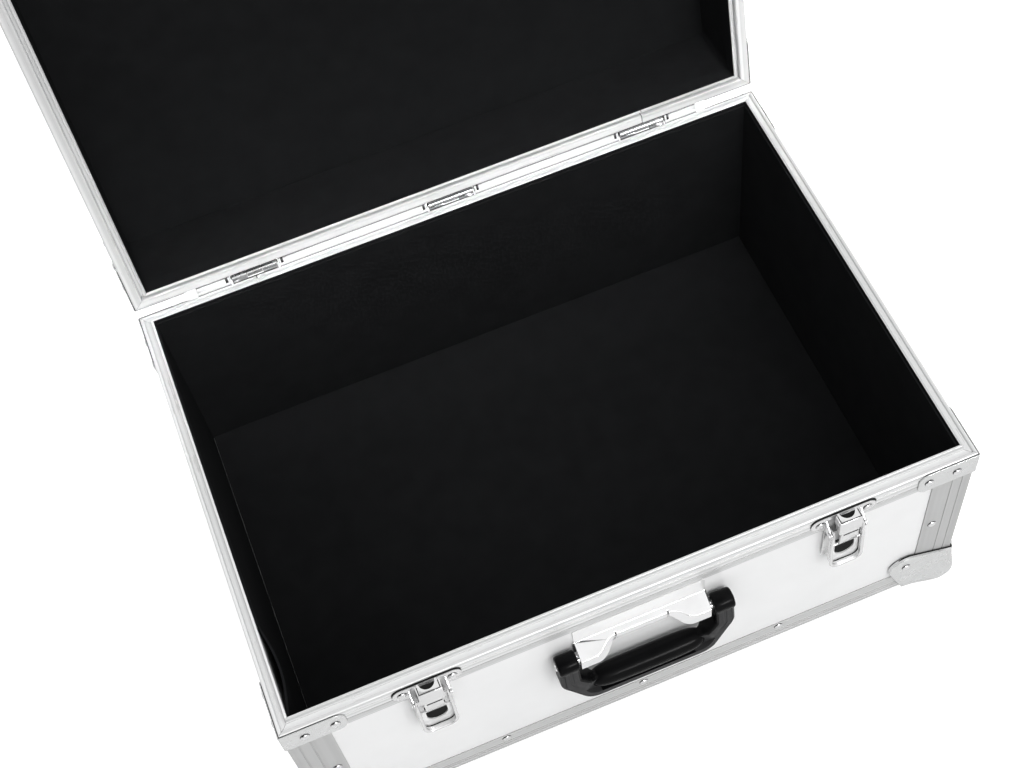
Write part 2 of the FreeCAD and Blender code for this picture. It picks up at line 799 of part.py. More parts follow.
save("base_edging_rivets", [rivet_solid(*rivet) for rivet in base_edge_rivets])
save("base_corner_rivets", [rivet_solid(*rivet) for rivet in base_cap_rivets])
save("base_bracket_rivets", [rivet_solid(*rivet) for rivet in base_bracket_rivets])
save("base_hinge_rivets", [rivet_solid(*rivet) for rivet in base_leaf_rivets])
save("latch_plate_rivets", [rivet_solid(*rivet) for rivet in latch_rivets])
save("lid_edging_rivets", [opened(rivet_solid(*rivet)) for rivet in lid_edge_rivets])
save("lid_corner_rivets", [opened(rivet_solid(*rivet)) for rivet in lid_cap_rivets])
save("lid_bracket_rivets", [opened(rivet_solid(*rivet)) for rivet in lid_bracket_rivets])
save("lid_hardware_rivets", [opened(rivet_solid(*rivet)) for rivet in lid_leaf_rivets + strike_rivets])


# Hinges: two outer knuckles on the base leaf, the middle one on the lid leaf, and a pin
knuckle_length = (hinge_width - 2 * side_clearance) / 3
swing_radius = knuckle_radius + leaf_swing_gap


def knuckle(x0, x1):
    """A knuckle round the hinge axis."""
    return rod(Vec(x0, hinge_y, hinge_z), AXIS_X, x1 - x0, knuckle_radius)


def leaf(x0, x1, z0, z1):
    """A flat part of a leaf on the back face."""
    return box(Vec(x0, half_y, z0), Vec(x1, half_y + leaf_thickness, z1))


def hinge(x):
    """Base leaf, lid leaf and pin of the hinge at x."""
    left = x - hinge_width / 2
    right = x + hinge_width / 2
    bore = rod(Vec(left - overrun, hinge_y, hinge_z), AXIS_X, hinge_width + 2 * overrun,
               hinge_pin_radius + running_clearance)
    base_top = hinge_z - swing_radius
    base_shapes = [leaf(left, right, rim_z - leaf_gap - leaf_height, base_top)]
    for start in (left, right - knuckle_length):
        base_shapes.append(leaf(start, start + knuckle_length, base_top, hinge_z))
        base_shapes.append(knuckle(start, start + knuckle_length))
    middle = left + knuckle_length + side_clearance
    lid_low = hinge_z + swing_radius
    lid_shapes = [
        leaf(left, right, lid_low, lid_z + leaf_gap + leaf_height),
        leaf(middle, middle + knuckle_length, hinge_z, lid_low),
        knuckle(middle, middle + knuckle_length),
    ]
    pin = rod(Vec(left - hinge_pin_end, hinge_y, hinge_z), AXIS_X, hinge_width + 2 * hinge_pin_end,
              hinge_pin_radius)
    return fused(base_shapes).cut(bore), fused(lid_shapes).cut(bore), pin


hinges = [hinge(x) for x in hinge_places]
save("hinge_base_leaves", [drilled(base_leaf, [base_leaf_rivets]) for base_leaf, _, _ in hinges])
save("hinge_lid_leaves", [opened(drilled(lid_leaf, [lid_leaf_rivets])) for _, lid_leaf, _ in hinges])
save("hinge_pins", [pin for _, _, pin in hinges])


# Gap strip: bars between the hinges that fill the gap behind the rims, each with its own fixing leg
def strip_length(x0, x1, slots):
    """One length of strip, flat towards the inside of the case, with narrow slots."""
    bar = rod(Vec(x0, hinge_y, hinge_z), AXIS_X, x1 - x0, knuckle_radius)
    leg = box(Vec(x0, half_y, rim_z - leaf_gap - leaf_height), Vec(x1, half_y + latch_sheet, hinge_z))
    shade = box(Vec(x0 - overrun, strip_flat_distance, -2 * knuckle_radius),
                Vec(x1 + overrun, 2 * knuckle_radius, 2 * knuckle_radius))
    shade.rotate(Vec(0, 0, 0), AXIS_X, half_turn - strip_flat_angle)
    shade.translate(Vec(0, hinge_y, hinge_z))
    shape = fused([bar.cut(shade), leg])
    cuts = []
    for x in slots:
        slot = box(Vec(x - strip_slot_width / 2, strip_flat_distance - strip_slot_depth, -2 * knuckle_radius),
                   Vec(x + strip_slot_width / 2, 2 * knuckle_radius, 2 * knuckle_radius))
        slot.rotate(Vec(0, 0, 0), AXIS_X, half_turn - strip_flat_angle)
        slot.translate(Vec(0, hinge_y, hinge_z))
        cuts.append(slot.common(bar))
    return shape.cut(cuts)


strips = []
for i in range(len(strip_ends) - 1):
    start = strip_ends[i] if i == 0 else strip_ends[i] + strip_window
    stop = strip_ends[i + 1] if i == len(strip_ends) - 2 else strip_ends[i + 1] - strip_window
    slot_places = [x + s * strip_slot_offset for x in hinge_places for s in (-1, 1)]
    inside = [x for x in slot_places if start < x < stop]
    strips.append(drilled(strip_length(start, stop, inside), [base_leaf_rivets]))
save("hinge_gap_strip", strips)


# Latches: a plate with cheeks, a tray lever that swings on them, and a hook that rides on the lever
def latch_plate(x):
    """The riveted plate with its two cheeks."""
    face = latch_sheet
    ears = front_plate(x - latch_ear_half, x + latch_ear_half, latch_ear_top, latch_ear_bottom, 0, face,
                       latch_ear_radius)
    body = front_plate(x - latch_plate_half, x + latch_plate_half, latch_plate_top, latch_plate_bottom, 0,
                       face, hook_fold_radius)
    shapes = [ears, body]
    nose = lever_pivot_out + latch_cheek_nose
    outline = [(0, latch_cheek_top), (lever_pivot_out, lever_pivot_drop - latch_cheek_nose),
               (lever_pivot_out, lever_pivot_drop + latch_cheek_nose), (0, latch_cheek_bottom)]
    for x0 in (x - latch_plate_half, x + latch_plate_half - latch_sheet):
        shapes.append(front_prism(x0, x0 + latch_sheet, outline))
        centre = front_point(x0, lever_pivot_out, lever_pivot_drop)
        shapes.append(rod(centre, AXIS_X, latch_sheet, nose - lever_pivot_out))
    pivot = rod(front_point(x - latch_ear_half, lever_pivot_out, lever_pivot_drop), AXIS_X,
                2 * latch_ear_half, lever_pivot_radius)
    return drilled(fused(shapes).cut(pivot), [latch_rivets])


def lever_pins(x):
    """The two stub pivots, headed on the outside of the cheeks."""
    found = []
    for s in (-1, 1):
        inner = lever_half - latch_sheet
        start = front_point(x + s * inner, lever_pivot_out, lever_pivot_drop)
        stub = rod(start, AXIS_X * s, latch_plate_half - inner, lever_pivot_radius)
        outer = front_point(x + s * latch_plate_half, lever_pivot_out, lever_pivot_drop)
        head = rod(outer, AXIS_X * s, pivot_head_height, pivot_head_radius)
        found.append(fused([stub, head]))
    return found


def latch_lever(x):
    """The tray lever, drawn upright, tilted to rest and then bored."""
    back = lever_pivot_out - lever_floor_back
    front = lever_pivot_out + lever_wall_front
    top = lever_pivot_drop - lever_top
    bottom = lever_pivot_drop + lever_length
    block = box(front_point(x - lever_half, front, bottom), front_point(x + lever_half, back, top))
    low = [e for e in block.Edges if e.CenterOfMass.z < rim_z - bottom + overrun]
    sides = [e for e in block.Edges if abs(e.tangentAt(e.FirstParameter).y) > 1 - 1e-6]
    block = block.makeFillet(latch_ear_radius, [e for e in sides if any(e.isSame(f) for f in low)])
    wall = latch_sheet
    room = box(front_point(x - lever_half + wall, front + overrun, bottom - wall),
               front_point(x + lever_half - wall, back + wall, top - overrun))
    low = [e for e in room.Edges if abs(e.tangentAt(e.FirstParameter).y) > 1 - 1e-6
           and e.CenterOfMass.z < rim_z - lever_pivot_drop]
    room = room.makeFillet(latch_ear_radius - wall, low)
    hole_top = lever_pivot_drop + finger_hole_top
    hole_low = hole_top + finger_hole_straight
    hole = [
        box(front_point(x - finger_hole_half, front, hole_low),
            front_point(x + finger_hole_half, 0, hole_top)),
        rod(front_point(x, front, hole_low), BACK, front, finger_hole_half),
    ]
    tray = block.cut([room] + hole)
    tray.rotate(front_point(x, lever_pivot_out, lever_pivot_drop), LEFT, lever_rest_tilt)
    bores = []
    for out, drop, radius in ((lever_pivot_out, lever_pivot_drop, lever_pivot_radius + running_clearance),
                              (hook_eye_out, hook_eye_drop, hook_pin_radius)):
        bores.append(rod(front_point(x - 2 * lever_half, out, drop), AXIS_X, 2 * latch_ear_half, radius))
    return tray.cut(bores)


def latch_hook(x):
    """The hook: a top plate with a round notch, a skirt, and a tail that ends in the eye."""
    sheet = latch_sheet
    r = hook_fold_radius
    top_drop = -hook_top
    outline = [(hook_back, top_drop), (hook_front, top_drop), (hook_front, hook_skirt_bottom),
               (hook_front - sheet, hook_skirt_bottom), (hook_front - sheet, top_drop + sheet),
               (hook_back, top_drop + sheet)]
    cap_plate = front_prism(x - hook_half, x + hook_half, outline)
    ridge = [e for e in cap_plate.Edges
             if (e.CenterOfMass - front_point(x, hook_front, top_drop)).Length < sheet / 4]
    cap_plate = cap_plate.makeFillet(r, ridge)
    line_low = hook_skirt_bottom + hook_line_width
    link = box(front_point(x - hook_tail_half, hook_front - hook_line_depth, line_low),
               front_point(x + hook_tail_half, hook_front - sheet, hook_skirt_bottom))
    tail_front = hook_eye_out + hook_eye_radius
    slope = [(hook_front, line_low), (tail_front, hook_eye_drop), (tail_front - sheet, hook_eye_drop),
             (hook_front - sheet, line_low)]
    tail = front_prism(x - hook_tail_half, x + hook_tail_half, slope)
    centre = front_point(x - hook_tail_half, hook_eye_out, hook_eye_drop)
    eye = rod(centre, AXIS_X, 2 * hook_tail_half, hook_eye_radius)
    notch_start = front_point(x, hook_back, top_drop + sheet + overrun)
    notch = rod(notch_start, UP, sheet + 2 * overrun, hook_notch_radius)
    bore = rod(front_point(x - hook_half, hook_eye_out, hook_eye_drop), AXIS_X, 2 * hook_half,
               hook_pin_radius + running_clearance)
    return fused([cap_plate, link, tail, eye]).cut([notch, bore])


def hook_pin(x):
    """The pin that carries the hook between the lever walls."""
    start = front_point(x - lever_half, hook_eye_out, hook_eye_drop)
    return rod(start, AXIS_X, 2 * lever_half, hook_pin_radius)


def latch_spring(x):
    """A bowed leaf spring on the plate, behind the finger hole."""
    face = latch_sheet
    t = spring_sheet
    bow = face + spring_bow_out
    tip = face + spring_tip_out
    outline = [(face, spring_top), (face + t, spring_top), (face + t, spring_foot_bottom),
               (bow + t, spring_bow_drop), (tip + t, spring_tip_drop), (tip, spring_tip_drop),
               (bow, spring_bow_drop), (face, spring_foot_bottom + t)]
    return front_prism(x - spring_half, x + spring_half, outline)


def latch_strike(x):
    """The catch on the lid front, with a tongue below the rim and a lip for the hook."""
    plate = front_plate(x - latch_ear_half, x + latch_ear_half, -strike_top, -strike_bottom, 0, latch_sheet,
                        latch_ear_radius)
    low = strike_lip_top + strike_lip_thickness
    outline = [(strike_tongue_back, -strike_bottom - overrun), (latch_sheet, -strike_bottom - overrun),
               (latch_sheet, strike_lip_top), (strike_lip_out, strike_lip_top), (strike_lip_out, low),
               (strike_tongue_back, low)]
    tongue = front_prism(x - strike_tongue_half, x + strike_tongue_half, outline)
    shape = fused([plate, tongue])
    shape.translate(Vec(0, 0, rim_gap))
    return drilled(shape, [strike_rivets])


for side, latch_x in zip(("left", "right"), latch_places):
    save("latch_plate_" + side, [latch_plate(latch_x)])
    save("latch_lever_" + side, [latch_lever(latch_x)])
    save("latch_hook_" + side, [latch_hook(latch_x)])
    save("latch_hook_pin_" + side, [hook_pin(latch_x)])
save("latch_lever_pins", [pin for latch_x in latch_places for pin in lever_pins(latch_x)])
save("latch_springs", [latch_spring(latch_x) for latch_x in latch_places])
save("latch_strikes", [opened(latch_strike(latch_x)) for latch_x in latch_places])


# Handle: a plate on the front panel under a formed hood, two pins and a moulded grip
def hood_plan(inset):
    """The hood seen from above: shallow in the middle, swept out to a lug at each end."""
    half_run = (hood_lug_inner - hood_middle_half) / 2
    half_rise = (hood_lug_out - hood_middle_out) / 2
    radius = (half_run ** 2 + half_rise ** 2) / (2 * half_rise)
    lean = math.asin(half_run / radius) / 2
    level = rim_z - handle_plate_bottom - 2 * handle_half_width

    def place(x, out):
        return Vec(x, -half_y - out, level)

    def sweep(s):
        near = radius + inset
        far = radius - inset
        first = [place(s * (hood_middle_half + near * math.sin(turn)),
                       hood_middle_out + radius - near * math.cos(turn)) for turn in (0, lean, 2 * lean)]
        second = [place(s * (hood_lug_inner - far * math.sin(turn)),
                        hood_lug_out - radius + far * math.cos(turn)) for turn in (2 * lean, lean, 0)]
        return first, second

    edges = []
    ends = []
    for s in (1, -1):
        first, second = sweep(s)
        edges += [Part.Arc(*first).toShape(), Part.Arc(*second).toShape()]
        tip = place(s * (hood_half - inset), hood_lug_out - inset)
        foot = place(s * (hood_half - inset), -edging_thickness)
        edges += [Part.makeLine(second[2], tip), Part.makeLine(tip, foot)]
        ends.append((first[0], foot))
    edges.append(Part.makeLine(ends[0][0], ends[1][0]))
    edges.append(Part.makeLine(ends[0][1], ends[1][1]))
    outline = Part.Wire(Part.__sortEdges__(edges))
    return Part.Face(outline).extrude(UP * (2 * handle_half_width + handle_plate_bottom))


def hood_sides(sink, drop):
    """The sloping top of the hood, lowered by sink, and its lower edge, lowered by drop."""
    back = -edging_thickness
    far = hood_lug_out + overrun
    fall = (hood_lug_bottom - hood_middle_bottom) / (hood_lug_out - hood_middle_out)
    top_fall = (hood_lug_top - handle_plate_top) / hood_lug_out
    outline = [(out, handle_plate_top + top_fall * out + sink) for out in (back, far)]
    outline += [(out, hood_middle_bottom + fall * (out - hood_middle_out) + drop) for out in (far, back)]
    return front_prism(-handle_half_width, handle_half_width, outline)


def handle_plate():
    """The plate and the hood over it, hollow underneath, with a slit at each end of the shallow lip."""
    sheet = handle_plate_sheet
    plate = front_plate(-handle_plate_half, handle_plate_half, handle_plate_top, handle_plate_bottom,
                        -edging_thickness, handle_plate_face, handle_plate_radius)
    hood = hood_plan(0).common(hood_sides(0, 0))
    room = hood_plan(sheet).common(hood_sides(sheet, hood_lug_bottom))
    cuts = [room]
    for x in (-hood_middle_half, hood_middle_half):
        cuts.append(box(front_point(x - hood_slit_width / 2, hood_lug_out, hood_lug_bottom),
                        front_point(x + hood_slit_width / 2, hood_middle_out - sheet, handle_plate_top)))
    hood = hood.cut(cuts)
    pivot = rod(front_point(-handle_half_width, handle_pivot_out, handle_pivot_drop), AXIS_X,
                2 * handle_half_width, handle_pin_radius)
    return fused([plate, hood]).cut([pivot] + handle_holes)


def handle_pins():
    """The pins from inside the hood lugs out through the grip bosses."""
    found = []
    for s in (-1, 1):
        start = front_point(s * handle_pin_inner, handle_pivot_out, handle_pivot_drop)
        length = handle_half_width + handle_pin_end - handle_pin_inner
        pin = rod(start, AXIS_X * s, length, handle_pin_radius)
        end = s * (handle_pin_inner + length)
        tip = [e for e in pin.Edges
               if abs(e.CenterOfMass.x - end) < handle_pin_chamfer and len(e.Vertexes) == 1]
        found.append(pin.makeChamfer(handle_pin_chamfer, tip))
    return found


def handle_grip():
    """The moulded grip: a wide bar on two arms, drawn hanging and tilted to rest."""
    half = handle_thickness / 2
    right = [(handle_half_width, 0), (handle_half_width, handle_arm_straight),
             (handle_bar_half, handle_bar_bottom)]
    inner = [(handle_bar_inner_half, handle_bar_top), (handle_arm_inner, handle_inner_straight),
             (handle_arm_inner, 0)]
    outline = right + [(-x, r) for x, r in reversed(right)]
    outline += [(-x, r) for x, r in reversed(inner)] + inner
    points = [front_point(x, handle_pivot_out + half, handle_pivot_drop + r) for x, r in outline]
    body = Part.Face(Part.makePolygon(points + points[:1])).extrude(BACK * handle_thickness)
    sides = [(-handle_boss_radius, 0), (handle_boss_radius, 0), (half, handle_arm_taper),
             (half, handle_bar_bottom), (-half, handle_bar_bottom), (-half, handle_arm_taper)]
    thinned = [(handle_pivot_out + b, handle_pivot_drop + r) for b, r in sides]
    body = body.common(front_prism(-handle_half_width, handle_half_width, thinned))
    level = rim_z - handle_pivot_drop
    bend = level - handle_arm_taper
    sharp = [e for e in body.Edges if abs(e.tangentAt(e.FirstParameter).y) < math.sin(math.pi / 4)
             and e.CenterOfMass.z < level - 1e-3 and abs(e.CenterOfMass.z - bend) > 1e-3]
    body = body.makeFillet(handle_edge_radius, sharp)
    bosses = []
    for x0 in (-handle_half_width, handle_arm_inner):
        start = front_point(x0, handle_pivot_out, handle_pivot_drop)
        bosses.append(rod(start, AXIS_X, handle_half_width - handle_arm_inner, handle_boss_radius))
    grip = fused([body] + bosses)
    grip.rotate(front_point(0, handle_pivot_out, handle_pivot_drop), LEFT, handle_rest_tilt)
    bore = rod(front_point(-handle_half_width - overrun, handle_pivot_out, handle_pivot_drop), AXIS_X,
               2 * (handle_half_width + overrun), handle_pin_radius + running_clearance)
    return grip.cut(bore)


save("handle_plate", [handle_plate()])
save("handle_pins", handle_pins())
save("handle_plate_rivets", [handle_rivet(x, drop, handle_rivet_radius, 0) for x, drop in handle_rivets])
save("handle_grip", [handle_grip()])
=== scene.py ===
# %% [markdown]
# # A white flight case with its lid open
# The case is a box of white faced boards held together by aluminium edging, pressed corners and rivets. The
# CAD model fixes every place and every joint. This script sets a quiet white studio around it and dresses
# it: a finish for each metal, softer edges, turned rivet heads, lining sheets, a moulded handle and pressed
# latches.

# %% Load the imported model
import json
import math

import bmesh
import bpy
import numpy as np
from mathutils import Matrix, Vector

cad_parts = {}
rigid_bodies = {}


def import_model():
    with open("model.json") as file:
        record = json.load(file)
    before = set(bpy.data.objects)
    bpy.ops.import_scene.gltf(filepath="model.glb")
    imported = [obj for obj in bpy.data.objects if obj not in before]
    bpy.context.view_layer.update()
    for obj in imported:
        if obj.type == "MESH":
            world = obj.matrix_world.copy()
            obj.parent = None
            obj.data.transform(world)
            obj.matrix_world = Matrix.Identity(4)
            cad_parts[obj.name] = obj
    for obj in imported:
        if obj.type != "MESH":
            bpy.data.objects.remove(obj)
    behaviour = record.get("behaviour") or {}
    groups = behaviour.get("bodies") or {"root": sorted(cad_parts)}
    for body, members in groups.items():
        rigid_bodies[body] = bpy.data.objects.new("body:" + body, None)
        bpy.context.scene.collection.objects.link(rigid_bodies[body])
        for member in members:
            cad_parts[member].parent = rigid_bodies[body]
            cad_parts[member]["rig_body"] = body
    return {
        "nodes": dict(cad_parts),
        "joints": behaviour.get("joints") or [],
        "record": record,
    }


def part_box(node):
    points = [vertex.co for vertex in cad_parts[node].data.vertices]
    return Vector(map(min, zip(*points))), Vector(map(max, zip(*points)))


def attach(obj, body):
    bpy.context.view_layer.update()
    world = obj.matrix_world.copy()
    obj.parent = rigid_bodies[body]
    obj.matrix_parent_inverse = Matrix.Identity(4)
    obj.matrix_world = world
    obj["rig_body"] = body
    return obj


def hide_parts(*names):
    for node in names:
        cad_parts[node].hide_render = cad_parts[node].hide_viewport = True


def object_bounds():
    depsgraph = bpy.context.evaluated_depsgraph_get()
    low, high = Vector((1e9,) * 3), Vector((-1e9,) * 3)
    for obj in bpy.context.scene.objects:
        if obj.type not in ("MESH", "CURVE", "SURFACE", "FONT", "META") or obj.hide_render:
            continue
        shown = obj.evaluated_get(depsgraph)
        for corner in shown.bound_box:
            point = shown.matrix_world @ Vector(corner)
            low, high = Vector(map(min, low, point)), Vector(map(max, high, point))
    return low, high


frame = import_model()
cad_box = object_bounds()
nodes = frame["nodes"]
slots = {part["node"]: part["material_slot"] for part in frame["record"]["subparts"]}
joints = {joint["name"]: joint for joint in frame["joints"]}

# %% [markdown]
# ## The camera
# The picture looks down into the open case from in front and to the left. The place and the turn come from
# fitting the corners of the rim and of the bottom, so the camera is set by numbers and not by eye.


# %% Camera
def linked(name, data):
    obj = bpy.data.objects.new(name, data)
    bpy.context.scene.collection.objects.link(obj)
    return obj


camera = linked("camera", bpy.data.cameras.new("camera"))
camera.location = (-0.176557, -0.681786, 1.377849)
camera.rotation_euler = (0.538494, 0.091321, -0.375300)
camera.data.lens = 59.245
camera.data.sensor_width = 36.0
bpy.context.scene.camera = camera
print("camera at", [round(c, 3) for c in camera.location])

# %% [markdown]
# ## Wiring nodes
# Every finish and every repeated shape here is a node tree. One small helper adds a node, sets its options
# and fills its inputs, either with a number or with another node's output, so a tree reads like a list of
# steps. A second one does the same for a sum, and a third empties the tree that a new material or sky starts
# with.


# %% Helpers for node trees
def wire(tree, kind, values=None, **options):
    node = tree.nodes.new(kind)
    for option, choice in options.items():
        setattr(node, option, choice)
    for socket, value in (values or {}).items():
        if isinstance(value, bpy.types.NodeSocket):
            tree.links.new(value, node.inputs[socket])
        else:
            node.inputs[socket].default_value = value
    return node


def reckon(tree, operation, *values):
    return wire(tree, "ShaderNodeMath", dict(enumerate(values)), operation=operation).outputs[0]


def emptied(owner):
    owner.use_nodes = True
    owner.node_tree.nodes.clear()
    return owner.node_tree


print("node helpers are ready")

# %% [markdown]
# ## The studio
# The object stands on a pale floor in front of nothing but white. The floor stays a real surface that takes
# a shadow; it only adds a little glow where the camera looks at it, so that it goes up to white. The sky is
# white where it is seen or mirrored, and weaker where it lights things.


# %% Floor
def seen_or_mirrored(tree):
    path = wire(tree, "ShaderNodeLightPath").outputs
    return path["Is Camera Ray"], reckon(tree, "MAXIMUM", path["Is Glossy Ray"], path["Is Transmission Ray"])


def square(name, half, material):
    corners = [(x * half, y * half, 0.0) for x, y in ((-1, -1), (1, -1), (1, 1), (-1, 1))]
    mesh = bpy.data.meshes.new(name)
    mesh.from_pydata(corners, [], [(0, 1, 2, 3)])
    mesh.materials.append(material)
    return linked(name, mesh)


MILLIMETRE = 0.001
FLOOR_HALF, FLOOR_DROP, FLOOR_GREY = 8.0, 0.4 * MILLIMETRE, 0.72
SEEN_GLOW, MIRRORED_GLOW = 0.62, 0.06
pale = bpy.data.materials.new("pale_floor")
tree = emptied(pale)
seen, mirrored = seen_or_mirrored(tree)
glow = reckon(tree, "MULTIPLY_ADD", mirrored, MIRRORED_GLOW, reckon(tree, "MULTIPLY", seen, SEEN_GLOW))
paint = wire(tree, "ShaderNodeBsdfDiffuse", {"Color": (FLOOR_GREY, FLOOR_GREY, FLOOR_GREY, 1.0)})
light = wire(tree, "ShaderNodeEmission", {"Strength": glow})
both = wire(tree, "ShaderNodeAddShader", {0: paint.outputs[0], 1: light.outputs[0]})
wire(tree, "ShaderNodeOutputMaterial", {"Surface": both.outputs[0]})
floor = square("studio_floor", FLOOR_HALF, pale)
floor.location.z = -FLOOR_DROP
print("floor", FLOOR_HALF * 2, "m wide")

# %% Sky
SKY_LIGHT = 0.44
sky = bpy.data.worlds.new("white_sky")
tree = emptied(sky)
shown = reckon(tree, "MAXIMUM", *seen_or_mirrored(tree))
level = wire(tree, "ShaderNodeMapRange", {"Value": shown, "To Min": SKY_LIGHT, "To Max": 1.0}).outputs[0]
air = wire(tree, "ShaderNodeBackground", {"Color": (1.0, 1.0, 1.0, 1.0), "Strength": level})
wire(tree, "ShaderNodeOutputWorld", {"Surface": air.outputs[0]})
bpy.context.scene.world = sky
bpy.context.scene.view_settings.view_transform = "Standard"
print("sky light", SKY_LIGHT)

# %% [markdown]
# ## Lamps and dark cards
# A white case wants large soft lamps, so that its boards stay even and no shadow is hard. Polished metal
# shows whatever stands around it: only the low strip is let into the reflections, as a bright line, and two
# dark cards that nothing but a mirror can see give the chrome something black to set it off.


# %% Softboxes
def aim_at(obj, place, target):
    obj.location = place
    obj.rotation_euler = (Vector(target) - Vector(place)).to_track_quat("-Z", "Y").to_euler()


def softbox(name, watts, place, target, wide, tall=None):
    lamp = bpy.data.lights.new(name, "AREA")
    lamp.shape = "SQUARE"
    lamp.size = wide
    lamp.energy = watts
    if tall:
        lamp.shape = "RECTANGLE"
        lamp.size_y = tall
    box = linked(name, lamp)
    box.visible_glossy = False
    aim_at(box, place, target)
    return box


CASE_MIDDLE = (0.0, 0.0, 0.15)
softbox("key_softbox", 29.0, (0.40, -1.75, 1.75), CASE_MIDDLE, 1.2)
softbox("top_softbox", 15.0, (0.2, -0.3, 2.7), (0.0, 0.2, 0.2), 1.8)
for name, side, watts in (("left_fill", -1, 6.0), ("right_fill", 1, 3.0)):
    softbox(name, watts, (side * 1.15, 0.05, 1.5), (0.0, 0.0, 0.12), 0.8)
hinge_light = softbox("hinge_softbox", 0.32, (0.0, -0.45, 1.55), (0.0, 0.205, 0.22), 0.75, 0.05)
hinge_light.data.spread = math.radians(14)
strip = softbox("strip_softbox", 26.0, (0.55, -1.95, 1.10), (0.0, -0.1, 0.15), 0.9, 0.35)
strip.visible_glossy = True
strip.visible_diffuse = False
print("softboxes:", len(bpy.data.lights))


# %% Dark cards
def dark_card(name, place, half):
    cloth = bpy.data.materials.new(name)
    tree = emptied(cloth)
    black = wire(tree, "ShaderNodeBsdfDiffuse", {"Color": (0.02, 0.02, 0.02, 1.0)})
    wire(tree, "ShaderNodeOutputMaterial", {"Surface": black.outputs[0]})
    card = square(name, half, cloth)
    aim_at(card, place, CASE_MIDDLE)
    card.visible_camera = False
    card.visible_diffuse = False
    card.visible_shadow = False
    print(name, "is", 2 * half, "m wide")


dark_card("left_card", (-1.25, -1.25, 0.95), 0.75)
dark_card("camera_side_card", (-0.25, -0.75, 2.45), 0.9)

# %% [markdown]
# ## Finishes
# Each metal has a direction: the extrusions carry fine lines along their length, the angles are brushed, and
# the pressed parts are only a little uneven. The directional ones read an attribute called grain, the place
# of a point in its own bar's length, width and thickness, so the lines follow every bar whichever way it
# lies.


# %% A new finish
finishes = {}


def new_finish(name, **constants):
    material = finishes[name] = bpy.data.materials.new(name)
    tree = emptied(material)
    shader = wire(tree, "ShaderNodeBsdfPrincipled", constants)
    wire(tree, "ShaderNodeOutputMaterial", {"Surface": shader.outputs[0]})
    return material, tree, shader


def own_place(tree):
    return wire(tree, "ShaderNodeTexCoord").outputs["Object"]


def noise(tree, place, scale, detail=3.0, roughness=0.55):
    settings = {"Vector": place, "Scale": scale, "Detail": detail, "Roughness": roughness}
    return wire(tree, "ShaderNodeTexNoise", settings).outputs["Fac"]


def ranged(tree, value, low, high, start=0.3, end=0.7):
    settings = {"Value": value, "From Min": start, "From Max": end, "To Min": low, "To Max": high}
    return wire(tree, "ShaderNodeMapRange", settings).outputs[0]


# The colours of a mixing node are its inputs 6 and 7 and its output 2.
def blended(tree, share, dark, light):
    return wire(tree, "ShaderNodeMix", {"Factor": share, 6: dark, 7: light}, data_type="RGBA").outputs[2]


def toned(tree, share, colour, spread):
    dark = [c * (1 - spread) for c in colour]
    return blended(tree, share, (*dark, 1.0), (*colour, 1.0))


def bumped(tree, height, strength, depth):
    settings = {"Height": height, "Strength": strength, "Distance": depth}
    return wire(tree, "ShaderNodeBump", settings).outputs[0]


def link(tree, shader, **outputs):
    for socket, output in outputs.items():
        tree.links.new(output, shader.inputs[socket.replace("_", " ")])


print("finish helpers are ready")

# %% Brushed and extruded metal
# Painted shade: the near-black colour that the metal finishes blend into in hollows, creases and folds.
PAINTED_SHADE = (0.02, 0.02, 0.021, 1.0)


# Painted shade: where ambient occlusion finds a hollow within reach, the colour darkens towards black.
def painted_shade_in_hollows(tree, colour, reach):
    open_air = wire(tree, "ShaderNodeAmbientOcclusion", {"Distance": reach}, samples=8).outputs["AO"]
    return blended(tree, ranged(tree, open_air, 0.0, 1.0, 0.25, 0.8), PAINTED_SHADE, colour)


def lined_metal(name, colour, rough, lines, depth, spread, metallic, reach, bands=0.0, contrast=0.0):
    _, tree, shader = new_finish(name, Metallic=metallic)
    grain = wire(tree, "ShaderNodeAttribute", attribute_name="grain").outputs["Vector"]
    fine = wire(tree, "ShaderNodeMapping", {"Vector": grain, "Scale": (0.6, lines, lines)}).outputs[0]
    wide = wire(tree, "ShaderNodeMapping", {"Vector": grain, "Scale": (0.05, bands, bands)}).outputs[0]
    scratch = noise(tree, fine, 1.0, 2.0, 0.6)
    stripe = ranged(tree, noise(tree, wide, 1.0, 1.0, 0.5), 0.0, contrast, 0.40, 0.60)
    tone = reckon(tree, "ADD", ranged(tree, scratch, 0.0, spread), stripe)
    tone = ranged(tree, tone, 0.0, 1.0, 0.0, spread + contrast)
    uneven = reckon(tree, "ADD", scratch, noise(tree, own_place(tree), 24.0))
    link(tree, shader, Base_Color=painted_shade_in_hollows(tree, toned(tree, tone, colour, spread + contrast), reach),
         Roughness=ranged(tree, uneven, rough * 0.8, rough * 1.25, 0.7, 1.3),
         Normal=bumped(tree, scratch, 0.5, depth))


lined_metal("rim_aluminium", (0.83, 0.833, 0.835), rough=0.32, lines=620.0, depth=2e-5, spread=0.10,
            metallic=0.22, reach=0.0012, bands=260.0, contrast=0.27)
lined_metal("angle_aluminium", (0.72, 0.72, 0.72), rough=0.45, lines=1300.0, depth=3e-5, spread=0.10,
            metallic=0.45, reach=0.0015, bands=230.0, contrast=0.16)
# Painted shade: the uprights are the same extrusion as the bottom edging, given a darker copy of its finish.
lined_metal("upright_aluminium", (0.535, 0.537, 0.537), rough=0.45, lines=1300.0, depth=3e-5, spread=0.08,
            metallic=0.45, reach=0.0015, bands=200.0, contrast=0.06)
lined_metal("strip_aluminium", (0.95, 0.955, 0.96), rough=0.36, lines=300.0, depth=8e-6, spread=0.03,
            metallic=0.15, reach=0.004)
print("lined metals:", list(finishes))


